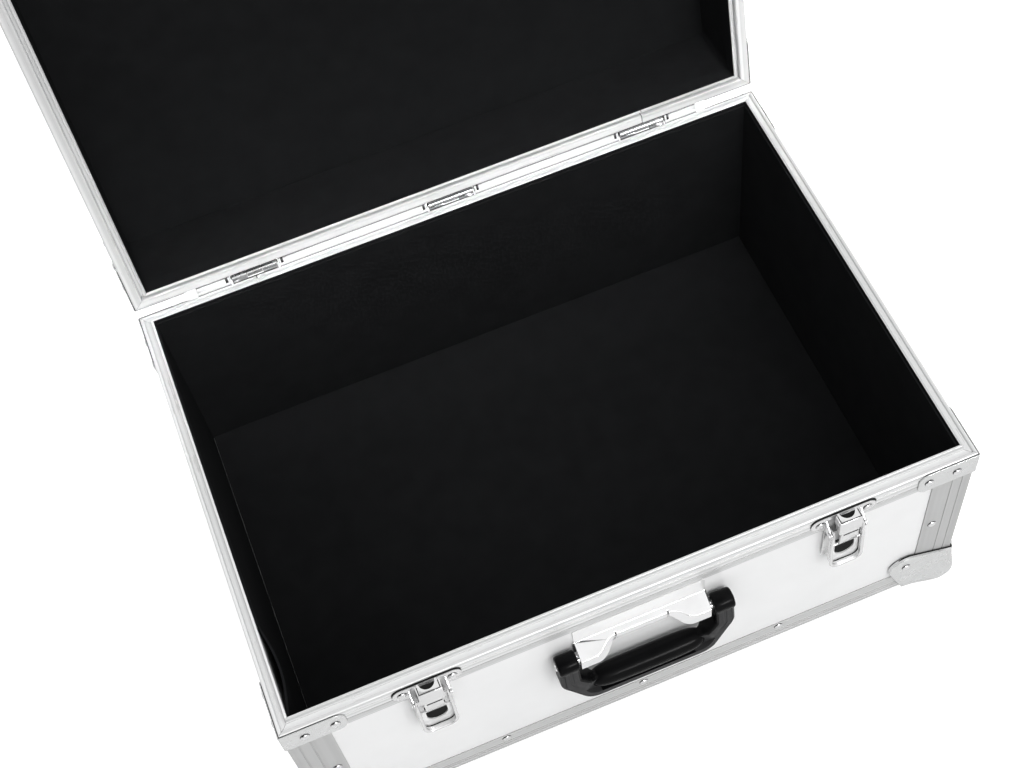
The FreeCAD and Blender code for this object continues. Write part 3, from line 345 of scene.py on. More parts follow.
# %% Pressed, plated and polished metal
def pressed_metal(name, colour, rough, peel=2e-6, spread=0.03, reach=0.0, metallic=1.0, edge=None):
    material, tree, shader = new_finish(name, Metallic=metallic)
    place = own_place(tree)
    cloud = noise(tree, place, 60.0)
    plated = toned(tree, ranged(tree, cloud, 0.0, 1.0), colour, spread)
    if edge:
        # Painted shadow: the outer flank of a rivet head and its shank go dark, for the shade under the
        # head's rim.
        across = wire(tree, "ShaderNodeAttribute", attribute_name=edge).outputs["Fac"]
        plated = blended(tree, ranged(tree, across, 1.0, 0.0, 0.78, 0.90), PAINTED_SHADE, plated)
    if reach:
        plated = painted_shade_in_hollows(tree, plated, reach)
    link(tree, shader, Base_Color=plated, Roughness=ranged(tree, cloud, rough * 0.75, rough * 1.3),
         Normal=bumped(tree, noise(tree, place, 900.0), 0.4, peel))
    return material


pressed_metal("corner_steel", (0.71, 0.715, 0.715), 0.26, peel=6e-6, metallic=0.85)
# The rivets' finish darkens the outer flank of each head: painted shadow under its rim.
rivet_metal = pressed_metal("rivet_metal", (0.78, 0.78, 0.785), 0.16, peel=4e-6, spread=0.05, edge="flank")
pressed_metal("hinge_steel", (0.50, 0.50, 0.505), 0.24, peel=6e-6, spread=0.08, reach=0.006)
latch_chrome = pressed_metal("latch_chrome", (0.75, 0.75, 0.753), 0.14, reach=0.0014, metallic=0.6)
tray_chrome = pressed_metal("tray_chrome", (0.95, 0.95, 0.952), 0.16, metallic=0.25)
handle_chrome = pressed_metal("handle_chrome", (0.88, 0.88, 0.885), 0.09, reach=0.0012)
flange_chrome = pressed_metal("flange_chrome", (0.97, 0.97, 0.972), 0.12, spread=0.02, metallic=0.3)
pressed_metal("spring_steel", (0.72, 0.72, 0.73), 0.18, peel=1e-5, spread=0.10)
print("pressed and polished metals are ready")


# %% White board, black lining and black plastic
def grained(name, dark, light, scale, rough, peel, shine=0.5):
    material, tree, shader = new_finish(name, **{"Specular IOR Level": shine})
    place = own_place(tree)
    skin = noise(tree, place, scale, 4.0, 0.6)
    cloud = ranged(tree, noise(tree, place, scale / 30), 0.0, 1.0)
    link(tree, shader, Base_Color=blended(tree, cloud, (*dark, 1.0), (*light, 1.0)),
         Roughness=ranged(tree, skin, rough * 0.85, rough * 1.15), Normal=bumped(tree, skin, 0.5, peel))
    return material


white_laminate = grained("white_laminate", (0.845, 0.847, 0.85), (0.87, 0.872, 0.875),
                         scale=700.0, rough=0.38, peel=3e-5)
black_lining = grained("black_lining", (0.0084, 0.0087, 0.0092), (0.0106, 0.0110, 0.0116),
                       scale=1500.0, rough=0.9, peel=2e-4, shine=0.03)
handle_black = grained("handle_black", (0.026, 0.026, 0.027), (0.034, 0.034, 0.035),
                       scale=1400.0, rough=0.5, peel=6e-5, shine=0.12)
grip_black = grained("grip_black", (0.003, 0.003, 0.0033), (0.0045, 0.0045, 0.0048),
                     scale=900.0, rough=0.24, peel=2e-5, shine=0.045)
# Painted shade: this black goes on sheets and faces that stand in for the shade in gaps, slits, corners and
# holes.
black_pad = grained("black_pad", (0.006, 0.006, 0.006), (0.010, 0.010, 0.010),
                    scale=1200.0, rough=0.7, peel=5e-5, shine=0.1)
print("board, lining and plastic are ready")

# %% [markdown]
# ## Eased edges
# No bar, bracket or pressing has a knife edge: a saw, a die or a press leaves a small radius that catches
# the light. The CAD nodes have sharp edges, so a copy of each is merged, cleared of needless triangles and
# bevelled. The same step measures each loose island in the mesh along its own length, width and thickness
# for the grain.

# %% Meshes, their islands and the islands' own axes
MERGE = 0.002 * MILLIMETRE


def opened(mesh, merge=None):
    shape = bmesh.new()
    shape.from_mesh(mesh)
    if merge:
        bmesh.ops.remove_doubles(shape, verts=shape.verts, dist=merge)
    return shape


def closed(shape, mesh=None, smooth=True):
    mesh = mesh or bpy.data.meshes.new("shape")
    for face in shape.faces:
        face.smooth = smooth
    shape.to_mesh(mesh)
    shape.free()
    return mesh


def islands(shape):
    shape.verts.ensure_lookup_table()
    met = set()
    for start in shape.verts:
        if start in met:
            continue
        met.add(start)
        group = [start]
        for vert in group:
            for edge in vert.link_edges:
                other = edge.other_vert(vert)
                if other not in met:
                    met.add(other)
                    group.append(other)
        yield group


def own_axes(points):
    middle = points.mean(0)
    spread, axes = np.linalg.eigh(np.cov((points - middle).T))
    return middle, axes[:, ::-1], spread[::-1]


def add_grain(mesh):
    shape = opened(mesh)
    places = np.zeros((len(mesh.vertices), 3), np.float32)
    for group in islands(shape):
        points = np.array([v.co for v in group])
        middle, axes, _ = own_axes(points)
        places[[v.index for v in group]] = (points - middle) @ axes
    shape.free()
    mesh.attributes.new("grain", "FLOAT_VECTOR", "POINT").data.foreach_set("vector", places.ravel())


print("mesh helpers are ready")


# %% Dressed copies of the nodes
def piece(name, mesh, material, body, slot, *replaced):
    if material:
        mesh.materials.clear()
        mesh.materials.append(material)
    mesh.name = name
    obj = linked(name, mesh)
    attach(obj, body)
    if replaced:
        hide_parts(*replaced)
    return obj


def stand_in(name, mesh, material, node):
    return piece(name, mesh, material, nodes[node]["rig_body"], slots[node], node)


def dressed(node, ending, shape, material):
    mesh = closed(shape)
    add_grain(mesh)
    return stand_in(node + ending, mesh, material, node)


FLAT = 0.01
SHARP = 0.6
SEAM_HALF = 0.35 * MILLIMETRE


def move_seam(shape, butt, shown):
    for group in list(islands(shape)):
        side = math.copysign(SEAM_HALF, sum(v.co.x for v in group) / len(group) - butt)
        for vert in group:
            if abs(vert.co.x - butt) < SEAM_HALF:
                vert.co.x = shown + side


def bevel(shape, edges, width, limited):
    bmesh.ops.bevel(shape, geom=edges, offset=width, offset_type="OFFSET", segments=2, profile=0.5,
                    affect="EDGES", clamp_overlap=limited)


def eased(node, width, material, seam=None):
    shape = opened(nodes[node].data, MERGE)
    if seam:
        move_seam(shape, *seam)
    bmesh.ops.dissolve_limit(shape, angle_limit=FLAT, verts=shape.verts, edges=shape.edges)
    sharp = [e for e in shape.edges if len(e.link_faces) == 2 and e.calc_face_angle() > SHARP]
    bevel(shape, sharp, width * MILLIMETRE, False)
    obj = dressed(node, "_eased", shape, material)
    obj.modifiers.new("even_shading", "WEIGHTED_NORMAL").keep_sharp = False
    return obj


def crisp(node, material):
    obj = dressed(node, "_crisp", opened(nodes[node].data, MERGE), material)
    obj.data.set_sharp_from_angle(angle=SHARP)


print("easing is ready")

# %% Ease the edging, the corners and the hardware
FINE_EASE = 0.2
EASED = {"rim_aluminium": 0.12, "angle_aluminium": 0.12, "corner_steel": 0.3, "handle_chrome": 0.3,
         "spring_steel": 0.1, "latch_chrome": FINE_EASE}
CRISP = ("strip_aluminium", "hinge_steel")
SEAMS = {"base_rim_back": (-0.168, -0.180), "lid_rim_back": (0.192, 0.1815)}
REDRAWN = ["latch_%s_%s" % (kind, side) for kind in ("lever", "hook", "plate") for side in ("left", "right")]
fittings = {}
for node, slot in slots.items():
    if slot in EASED and node not in REDRAWN:
        finish = "upright_aluminium" if "upright" in node else slot
        fittings[node] = eased(node, EASED[slot], finishes[finish], SEAMS.get(node))
    elif slot in CRISP:
        crisp(node, finishes[slot])
print("eased", len(fittings), "nodes")

# %% [markdown]
# ## White boards
# The boards are plywood with a smooth white laminate. Their CAD shape is right as it is, since the edging
# covers all the cut edges, so they only get their finish.

# %% Dress the boards
boards = [node for node, slot in slots.items() if slot == "white_board"]
for node in boards:
    nodes[node].data.materials.clear()
    nodes[node].data.materials.append(white_laminate)
print("boards dressed:", len(boards))

# %% [markdown]
# ## Rivets
# Every edging, corner, bracket and fitting is held by domed rivets: a turned head with a small dimple where
# the tool closed it, and a shank in the hole. One node tree bends a flat grid round into that turned shape
# and sets a copy on every point of a small mesh. The points are the rivets of the CAD model, each with the
# direction it looks in. The handle plate's rivets are flush, so they are eased like the other hardware.

# %% Where each rivet sits
END_BAND = 1e-5
WIDEST = 0.99


def rivet_seats(node):
    shape = opened(nodes[node].data, MERGE)
    seats = []
    for group in islands(shape):
        points = np.array([v.co for v in group])
        middle, axes, spread = own_axes(points)
        axis = axes[:, 0] if spread[0] - spread[1] > spread[1] - spread[2] else axes[:, 2]
        reach = (points - middle) @ axis
        radius = np.linalg.norm(points - middle - np.outer(reach, axis), axis=1)
        low, high = reach.min(), reach.max()
        if radius[reach < low + END_BAND].mean() < radius[reach > high - END_BAND].mean():
            axis, reach, low, high = -axis, -reach, -high, -low
        wide = radius.max()
        seat = reach[radius > wide * WIDEST].mean()
        shank = radius[reach < low + END_BAND].max()
        seats.append((middle + axis * seat, axis, wide, high - seat, shank, seat - low))
    shape.free()
    return seats


for node in ("base_bracket_rivets", "lid_corner_rivets"):
    seat = rivet_seats(node)[0]
    print(node, "head", [round(float(n) / MILLIMETRE, 2) for n in seat[2:]])

# %% The turned head and the shank as nodes
TURN_POINTS = 19
PROFILE_RADII = (0.0, 0.16, 0.30, 0.40, 0.62, 0.82, 0.95, 1.0)
PROFILE_HEIGHTS = (0.80, 0.82, 0.98, 1.0, 0.90, 0.64, 0.30, 0.0)


def share_curve(tree, across, shares):
    curve = wire(tree, "ShaderNodeFloatCurve", {"Value": across})
    line = curve.mapping.curves[0]
    last = len(shares) - 1
    for place, share in enumerate(shares):
        if place in (0, last):
            point = line.points[0 if place == 0 else -1]
            point.location = (place / last, share)
        else:
            point = line.points.new(place / last, share)
        point.handle_type = "VECTOR"
    curve.mapping.update()
    return curve.outputs[0]


def flanked(tree, geometry, value):
    settings = {"Geometry": geometry, "Name": "flank", "Value": value}
    return wire(tree, "GeometryNodeStoreNamedAttribute", settings, data_type="FLOAT",
                domain="POINT").outputs[0]


def turned_head(tree, given):
    sizes = {"Size X": 1.0, "Size Y": 1.0, "Vertices X": TURN_POINTS, "Vertices Y": len(PROFILE_RADII)}
    grid = wire(tree, "GeometryNodeMeshGrid", sizes).outputs["Mesh"]
    spot = wire(tree, "GeometryNodeInputPosition").outputs[0]
    flat = wire(tree, "ShaderNodeSeparateXYZ", {0: spot}).outputs
    turn = reckon(tree, "MULTIPLY", flat["X"], 2 * math.pi)
    across = reckon(tree, "ADD", flat["Y"], 0.5)
    radius = reckon(tree, "MULTIPLY", share_curve(tree, across, PROFILE_RADII), given["Head radius"])
    height = reckon(tree, "MULTIPLY", share_curve(tree, across, PROFILE_HEIGHTS), given["Head height"])
    x, y = [reckon(tree, "MULTIPLY", radius, reckon(tree, wave, turn)) for wave in ("COSINE", "SINE")]
    bent = wire(tree, "ShaderNodeCombineXYZ", {"X": x, "Y": y, "Z": height}).outputs[0]
    grid = flanked(tree, grid, across)
    return wire(tree, "GeometryNodeSetPosition", {"Geometry": grid, "Position": bent}).outputs[0]


def tapered_shank(tree, given):
    sizes = {"Vertices": TURN_POINTS - 1, "Radius Top": given["Head radius"],
             "Radius Bottom": given["Shank radius"], "Depth": given["Shank length"]}
    cone = wire(tree, "GeometryNodeMeshCone", sizes).outputs["Mesh"]
    down = reckon(tree, "MULTIPLY", given["Shank length"], -1.0)
    drop = wire(tree, "ShaderNodeCombineXYZ", {"Z": down}).outputs[0]
    cone = wire(tree, "GeometryNodeTransform", {"Geometry": cone, "Translation": drop}).outputs[0]
    return flanked(tree, cone, 1.0)


print("profile points:", len(PROFILE_RADII))

# %% The rivets as a node tree
RIVET_SIZES = ("Head radius", "Head height", "Shank radius", "Shank length")


def rivet_tree():
    tree = bpy.data.node_groups.new("turned_rivets", "GeometryNodeTree")
    sockets = [("Seats", "INPUT", "Geometry"), *((name, "INPUT", "Float") for name in RIVET_SIZES),
               ("Metal", "INPUT", "Material"), ("Rivets", "OUTPUT", "Geometry")]
    for name, way, kind in sockets:
        tree.interface.new_socket(name, in_out=way, socket_type="NodeSocket" + kind)
    given = wire(tree, "NodeGroupInput").outputs
    body = wire(tree, "GeometryNodeJoinGeometry")
    for part in (turned_head(tree, given), tapered_shank(tree, given)):
        tree.links.new(part, body.inputs[0])
    whole = {"Geometry": body.outputs[0], "Distance": MERGE}
    whole = wire(tree, "GeometryNodeMergeByDistance", whole).outputs[0]
    soft = wire(tree, "GeometryNodeSetShadeSmooth", {"Geometry": whole}).outputs[0]
    looks = wire(tree, "GeometryNodeInputNamedAttribute", {"Name": "looks"}, data_type="FLOAT_VECTOR")
    turned = wire(tree, "FunctionNodeAlignRotationToVector", {"Vector": looks.outputs[0]}, axis="Z")
    copies = {"Points": given["Seats"], "Instance": soft, "Rotation": turned.outputs[0]}
    copies = wire(tree, "GeometryNodeInstanceOnPoints", copies).outputs[0]
    real = wire(tree, "GeometryNodeRealizeInstances", {"Geometry": copies}).outputs[0]
    done = wire(tree, "GeometryNodeSetMaterial", {"Geometry": real, "Material": given["Metal"]}).outputs[0]
    wire(tree, "NodeGroupOutput", {"Rivets": done})
    return tree


turned_rivets = rivet_tree()
print("rivet tree has", len(turned_rivets.nodes), "nodes")


# %% Set the rivets
def made(carrier, *tools):
    bpy.context.view_layer.update()
    graph = bpy.context.evaluated_depsgraph_get()
    mesh = bpy.data.meshes.new_from_object(carrier.evaluated_get(graph))
    for obj in (carrier, *tools):
        bpy.data.objects.remove(obj)
    return mesh


def set_rivets(node, metal):
    seats = rivet_seats(node)
    mesh = bpy.data.meshes.new(node + "_seats")
    mesh.from_pydata([tuple(seat[0]) for seat in seats], [], [])
    looks = mesh.attributes.new("looks", "FLOAT_VECTOR", "POINT")
    looks.data.foreach_set("vector", np.array([seat[1] for seat in seats], np.float32).ravel())
    carrier = linked(node + "_seats", mesh)
    modifier = carrier.modifiers.new("rivets", "NODES")
    modifier.node_group = turned_rivets
    sizes = np.median([seat[2:] for seat in seats], axis=0)
    wanted = dict(zip(RIVET_SIZES, map(float, sizes)), Metal=metal)
    for item in turned_rivets.interface.items_tree:
        if item.in_out == "INPUT" and item.name in wanted:
            modifier[item.identifier] = wanted[item.name]
    return stand_in(node + "_turned", made(carrier), metal, node)


count = 0
for node, slot in slots.items():
    if slot == "rivet_metal" and node != "handle_plate_rivets":
        count += len(set_rivets(node, rivet_metal).data.polygons)
eased("handle_plate_rivets", FINE_EASE, rivet_metal)
print("rivets set, faces:", count)

# %% [markdown]
# ## Linings
# The inside is lined with a thin black felted sheet: a band round the walls and a flat piece on the floor,
# and the same in the lid. The band was glued in by hand, and near the front left corner of the base it has
# come away from the wall in a shallow wave. The bands are drawn with both their sides, so that the loose
# edge can be shaped; the flat pieces are grids that are then given their thickness.


# %% Sheets from rings and grids of points
def skin_mesh(rows, ring, capped=False):
    shape = bmesh.new()
    grid = [[shape.verts.new(point) for point in row] for row in rows]
    for low, high in zip(grid, grid[1:] + (grid[:1] if ring and not capped else [])):
        for i in range(len(low) if ring else len(low) - 1):
            j = (i + 1) % len(low)
            shape.faces.new((low[i], low[j], high[j], high[i]))
    for cap in (grid[0], grid[-1]) if capped else ():
        shape.faces.new(cap)
    bmesh.ops.recalc_face_normals(shape, faces=shape.faces)
    return closed(shape)


def corner_ring(half_x, half_y, radius, step):
    points = []
    for sign_x, sign_y, start in ((1, -1, -90), (1, 1, 0), (-1, 1, 90), (-1, -1, 180)):
        middle = Vector((sign_x * (half_x - radius), sign_y * (half_y - radius)))
        for turn in (0, 22.5, 45, 67.5, 90):
            away = Vector((math.cos(math.radians(start + turn)), math.sin(math.radians(start + turn))))
            points.append((middle + radius * away, away))
    ring = []
    for (place, away), (after, _) in zip(points, points[1:] + points[:1]):
        count = max(1, int((after - place).length / step))
        ring += [(place.lerp(after, k / count), away) for k in range(count)]
    return ring


def wall_band(name, rows, node):
    mesh = skin_mesh(rows, True)
    mesh.set_sharp_from_angle(angle=SHARP)
    return stand_in(name, mesh, black_lining, node)


print("sheet helpers are ready")

# %% The base band
wall_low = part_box("base_wall_lining")[0]
rim_low, rim_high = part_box("base_rim_front")
edge = rim_high.z - 0.5 * MILLIMETRE
TONGUE_X, TONGUE_Y, TONGUE_ROUND, BAND_STEP = 0.27435, 0.18935, 0.0018, 0.006
SHEET, WRAP, STEP_UP = 1.7 * MILLIMETRE, 0.4 * MILLIMETRE, 212.6 * MILLIMETRE
WAVE_MIDDLE, WAVE_HALF, WAVE_OUT, WAVE_DEEP, WAVE_NEAR = -0.148, 0.040, 0.0058, 0.100, 0.006
FREE_HALF, FREE_GAIN, SAG, SAG_DEEP = WAVE_HALF + 0.010, 25, 0.9 * MILLIMETRE, 0.020
BAND_ROWS = 16


def loose(place, z, half):
    if place.x > -TONGUE_X + WAVE_NEAR:
        return 0.0
    along = max(0.0, 1 - ((place.y - WAVE_MIDDLE) / half) ** 2)
    return along ** 1.4 * max(0.0, 1 - (edge - z) / WAVE_DEEP) ** 1.5


def wall_profile(top):
    heights = [wall_low.z + (STEP_UP - wall_low.z) * k / BAND_ROWS for k in range(BAND_ROWS + 1)]
    inner = [(SHEET, z) for z in heights]
    inner += [(SHEET * 0.75, STEP_UP + 0.3 * MILLIMETRE), (WRAP, STEP_UP + 0.5 * MILLIMETRE)]
    return inner + [(WRAP, top - 0.2 * MILLIMETRE), (0.0, top)] + [(0.0, z) for z in reversed(heights)]


rows = []
ring = corner_ring(TONGUE_X, TONGUE_Y, TONGUE_ROUND, BAND_STEP)
for place, away in ring:
    free = min(1.0, loose(place, edge, FREE_HALF) * FREE_GAIN)
    top = edge - free * (edge - STEP_UP - 0.8 * MILLIMETRE)
    row = []
    for inset, z in wall_profile(top):
        spot = place - away * inset
        sag = free * SAG * max(0.0, 1 - (top - z) / SAG_DEEP)
        row.append((spot.x + WAVE_OUT * loose(place, z, WAVE_HALF), spot.y, z - sag))
    rows.append(row)
band = wall_band("base_wall_band", rows, "base_wall_lining")

# %% Flat sheets
FLAT_POINTS, FLAT_ROWS, UNEVEN = 40, 28, 0.4 * MILLIMETRE


def flat_sheet(name, low, high, node, place):
    rows = []
    for j in range(FLAT_ROWS + 1):
        row = []
        for i in range(FLAT_POINTS + 1):
            x = low.x + (high.x - low.x) * i / FLAT_POINTS
            y = low.y + (high.y - low.y) * j / FLAT_ROWS
            rim = min(1.0, 4 * min(i, FLAT_POINTS - i, j, FLAT_ROWS - j) / FLAT_ROWS)
            swell = UNEVEN * rim * (math.sin(x * 31 + y * 17) * math.cos(y * 23 - x * 9) - 1)
            row.append(place(x, y, swell))
        rows.append(row)
    carrier = linked(name, skin_mesh(rows, False))
    solid = carrier.modifiers.new("thickness", "SOLIDIFY")
    solid.thickness = SHEET
    solid.offset = -1.0
    thick = made(carrier)
    thick.set_sharp_from_angle(angle=SHARP)
    return stand_in(name, thick, black_lining, node)


floor_low, floor_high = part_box("base_floor_lining")
base_floor = flat_sheet("base_floor_sheet", floor_low, floor_high, "base_floor_lining",
                        lambda x, y, up: (x, y, floor_high.z + up))
print("floor sheet laid")

# %% Where the lid is when it is closed
hinge = joints["lid_hinge"]
hinge_place = Vector(hinge["pos_m"])
to_open = Matrix.Translation(hinge_place) @ Matrix.Rotation(-math.radians(hinge["range_deg"][1]), 4, "X")
to_open = to_open @ Matrix.Translation(-hinge_place)


def closed_box(node):
    back = to_open.inverted()
    points = np.array([back @ v.co for v in nodes[node].data.vertices])
    return Vector(points.min(0)), Vector(points.max(0))


lid_low, lid_high = closed_box("lid_wall_lining")
top_low, top_high = closed_box("lid_top_lining")
print("lid lining, closed:", [round(c, 4) for c in lid_low], [round(c, 4) for c in lid_high])

# %% The lid linings
LEG, LEG_END, LID_EDGE = 4.75 * MILLIMETRE, 227.5 * MILLIMETRE, 214.4 * MILLIMETRE
LID_CORNER, LID_STEP, LID_ROWS = LEG + WRAP + 0.1 * MILLIMETRE, 0.008, 8
FOLD = LEG_END + 1.2 * MILLIMETRE
heights = [FOLD + (lid_high.z - FOLD) * k / LID_ROWS for k in range(LID_ROWS + 1)]
profile = [(LEG + WRAP, LID_EDGE), (LEG + WRAP, LEG_END - 0.001), (LEG + WRAP * 0.8, LEG_END)]
profile += [(SHEET, z) for z in heights] + [(0.0, z) for z in reversed(heights)]
profile += [(LEG - 0.0005, LEG_END + 0.0002), (LEG, LEG_END), (LEG, LID_EDGE)]
lid_ring = corner_ring(lid_high.x - 0.1 * MILLIMETRE, lid_high.y - 0.1 * MILLIMETRE, LID_CORNER, LID_STEP)
rows = []
for place, away in lid_ring:
    spots = [(place - away * inset, z) for inset, z in profile]
    rows.append([tuple(to_open @ Vector((spot.x, spot.y, z))) for spot, z in spots])
lid_band = wall_band("lid_wall_band", rows, "lid_wall_lining")
inset = Vector((SHEET, SHEET, 0.0))
lid_sheet = flat_sheet("lid_top_sheet", top_low + inset, top_high - inset, "lid_top_lining",
                       lambda x, y, up: tuple(to_open @ Vector((-x, y, top_low.z - up))))

# %% [markdown]
# ## Ball corners
# A ball corner is pressed from one disc of steel, so the ball swells out of the three lobes without an edge,
# and its rim stands off the angles and leaves a dark gap. The eased CAD corner gets more points and is
# swollen towards its ball, on the base a little more to the front and back, with no more reach to the side
# or below than it had. The edges that look towards the opening are cut along the line where the gap ends,
# and the strip behind it is painted black as the gap's shade. The rim's brackets get the same painted line.

# %% Swell the balls
CASE_X, CASE_Y, FOOT = 285.0 * MILLIMETRE, 200.0 * MILLIMETRE, 5.0 * MILLIMETRE
BALL_INSET, BALL_OUT, LONG_EDGE = 9.5 * MILLIMETRE, 5.5 * MILLIMETRE, 8.0 * MILLIMETRE
SWELL, FORWARD, SWELL_WIDTH, SHELL_BACK, SHELL = 0.0036, 0.0030, 0.0135, 0.002, 0.010
ROOF = closed_box("lid_ball_corners")[1].z - BALL_OUT
FARTHEST_BACK = cad_box[1][1] - 0.05 * MILLIMETRE


def share(value):
    return min(1.0, max(0.0, value))


def fuller(out, limit, amount):
    return out + amount * (1 - share(out / limit))


def swollen(point, level, forward):
    sign_x, sign_y = math.copysign(1, point.x), math.copysign(1, point.y)
    outs = [abs(point.x) - CASE_X, abs(point.y) - CASE_Y, level]
    from_ball = [out + BALL_INSET for out in outs]
    bump = []
    for axis in range(3):
        others = sum(from_ball[k] ** 2 for k in range(3) if k != axis)
        shell = share((from_ball[axis] + SHELL_BACK) / SHELL)
        bump.append(math.exp(-others / (2 * SWELL_WIDTH ** 2)) * shell)
    out_x = fuller(outs[0], BALL_OUT, SWELL * bump[0])
    out_y = fuller(outs[1], BALL_OUT, SWELL * bump[1]) + forward * bump[1]
    out_z = fuller(outs[2], FOOT, SWELL * bump[2])
    return sign_x * (CASE_X + out_x), sign_y * (CASE_Y + out_y), out_z


def swell_corners(node, to_place, level, height, forward):
    mesh = fittings[node].data
    shape = opened(mesh)
    for _ in range(3):
        bmesh.ops.triangulate(shape, faces=shape.faces)
        longer = [edge for edge in shape.edges if edge.calc_length() > LONG_EDGE]
        bmesh.ops.subdivide_edges(shape, edges=longer, cuts=1)
    bmesh.ops.triangulate(shape, faces=shape.faces)
    back = to_place.inverted()
    for vert in shape.verts:
        point = back @ vert.co
        x, y, out = swollen(point, level(point.z), forward)
        vert.co = to_place @ Vector((x, y, height(out)))
        vert.co.y = min(vert.co.y, FARTHEST_BACK)
    return len(closed(shape, mesh).polygons)


count = swell_corners("base_ball_corners", Matrix(), lambda z: FOOT - z, lambda out: FOOT - out, FORWARD)
count += swell_corners("lid_ball_corners", to_open, lambda z: z - ROOF, lambda out: ROOF + out, 0.0)
print("ball corner faces:", count)

# %% Painted shade in the gaps behind the rims of corners and brackets
FACING, ON_PLANE = 0.85, 1e-6


def coated(mesh, *materials):
    for material in materials:
        mesh.materials.append(material)
    return mesh


def gap_edges(node, to_place, looks, depth):
    mesh = fittings[node].data
    shape = opened(mesh)
    turned = to_place.to_3x3()
    turned_looks = turned @ looks
    for axis, case in ((Vector((1, 0, 0)), CASE_X), (Vector((0, 1, 0)), CASE_Y)):
        for side in (axis, -axis):
            shape.normal_update()
            edge_faces = [face for face in shape.faces if face.normal.dot(turned_looks) > FACING]
            parts = {part for face in edge_faces for part in [face, *face.edges, *face.verts]}
            bmesh.ops.bisect_plane(shape, geom=list(parts), dist=ON_PLANE,
                                   plane_co=to_place @ (side * (case + depth)), plane_no=turned @ side)
    shape.normal_update()
    back, count = to_place.inverted(), 0
    for face in shape.faces:
        middle = back @ face.calc_center_median()
        proud = max(abs(middle.x) - CASE_X, abs(middle.y) - CASE_Y)
        # Painted shade: edge faces inside the gap get the black material that stands in for its shadow.
        if face.normal.dot(turned_looks) > FACING and proud < depth:
            face.material_index = 1
            count += 1
    coated(closed(shape, mesh), black_pad)
    return count


UP, DOWN = Vector((0, 0, 1)), Vector((0, 0, -1))
for node, depth in (("ball_corners", 1.3 * MILLIMETRE), ("rim_brackets", 0.75 * MILLIMETRE)):
    found = gap_edges("base_" + node, Matrix(), UP, depth) + gap_edges("lid_" + node, to_open, DOWN, depth)
    print(node, "gap faces:", found)

# %% [markdown]
# ## Handle
# The carrying handle is a moulding: a flat frame in the shape of a wide U, with a rim along its outer edge
# and a shallow channel down each arm, a fuller rounded grip across the bottom, and a barrel at the end of
# each arm for its pin. The frame is a section carried along the U, the grip and the barrels are turned, and
# the four are joined. Its sizes are millimetres across, out from the pins' line and down from it.


# %% The frame of the handle
def rounded(path, radii, steps):
    points = []
    for k, radius in enumerate(radii, 1):
        before, corner, after = (Vector(point) for point in path[k - 1:k + 2])
        into, out = (before - corner).normalized(), (after - corner).normalized()
        half = into.angle(out) / 2
        middle = corner + (into + out).normalized() * radius / math.sin(half)
        first = corner + into * radius / math.tan(half) - middle
        last = corner + out * radius / math.tan(half) - middle
        points.append([middle + first.slerp(last, i / steps).normalized() * radius for i in range(steps + 1)])
    return points


def mirrored_points(points):
    return [(-x, y) for x, y in reversed(points)]


def stations(path, radii, counts):
    arcs = rounded(path, radii, 6)
    stops = [Vector(path[0])]
    for arc, count in zip(arcs + [[Vector(path[-1])]], counts):
        start = stops[-1]
        stops += [start.lerp(arc[0], i / count) for i in range(1, count)]
        stops += arc
    return stops + [Vector(point) for point in mirrored_points(stops[:-1])]


ARM_START, COUNTS = 4.0, (6, 5, 12)
outer = stations([(74.0, ARM_START), (74.0, 28.0), (53.0, 66.0), (0.0, 66.0)], (16.0, 16.0), COUNTS)
inner = stations([(57.0, ARM_START), (57.0, 22.0), (45.0, 39.6), (0.0, 39.6)], (6.0, 9.0), COUNTS)
print("stations along the handle:", len(outer), len(inner))

# %% The section of the frame
HANG = math.radians(2.5)
hang = Matrix.Translation(joints["handle_swing"]["pos_m"]) @ Matrix.Rotation(-HANG, 4, "X")


def placed(x, out, drop):
    return tuple(hang @ (Vector((x, -out, -drop)) * MILLIMETRE))


def frame_section(width, full, channel, sink):
    low = full - sink
    step = min(width * 0.44, 9.2)
    rim = [(0.0, full - 3.2), (0.6, full - 1.9), (2.9, full - 0.2), (3.2, full - 0.6), (3.6, full - 0.6),
           (3.9, full), (step, full)]
    front = [(step + 0.4, low - channel), (step + 2.6, low - channel), (step + 3.0, low), (width - 2.4, low),
             (width - 0.8, low - 0.7), (width, low - 2.4)]
    back = [(width, 2.4 - low), (width - 0.8, 0.7 - low), (width - 2.4, -low), (step + 0.4, -low),
            (step, -full), (2.4, -full), (0.8, 0.7 - full), (0.0, 2.4 - full)]
    return rim + front + back


FULL, FULLER, FULLER_FROM, FULLER_OVER = 7.3, 0.9, 6.0, 22.0
CHANNEL, CHANNEL_END, CHANNEL_FADE = 0.5, 44.0, 14.0
SINK, SINK_FROM, SINK_OVER = 4.0, 52.0, 12.0
rows = []
for edge_point, inside in zip(outer, inner):
    width = (inside - edge_point).length
    across = (inside - edge_point) / width
    drop = edge_point.y
    full = FULL + FULLER * share((drop - FULLER_FROM) / FULLER_OVER)
    channel = CHANNEL * share((CHANNEL_END - drop) / CHANNEL_FADE)
    sink = SINK * share((drop - SINK_FROM) / SINK_OVER)
    section = [(edge_point + across * away, out) for away, out in frame_section(width, full, channel, sink)]
    rows.append([placed(spot.x, out, spot.y) for spot, out in section])
print("section points:", len(rows[0]))

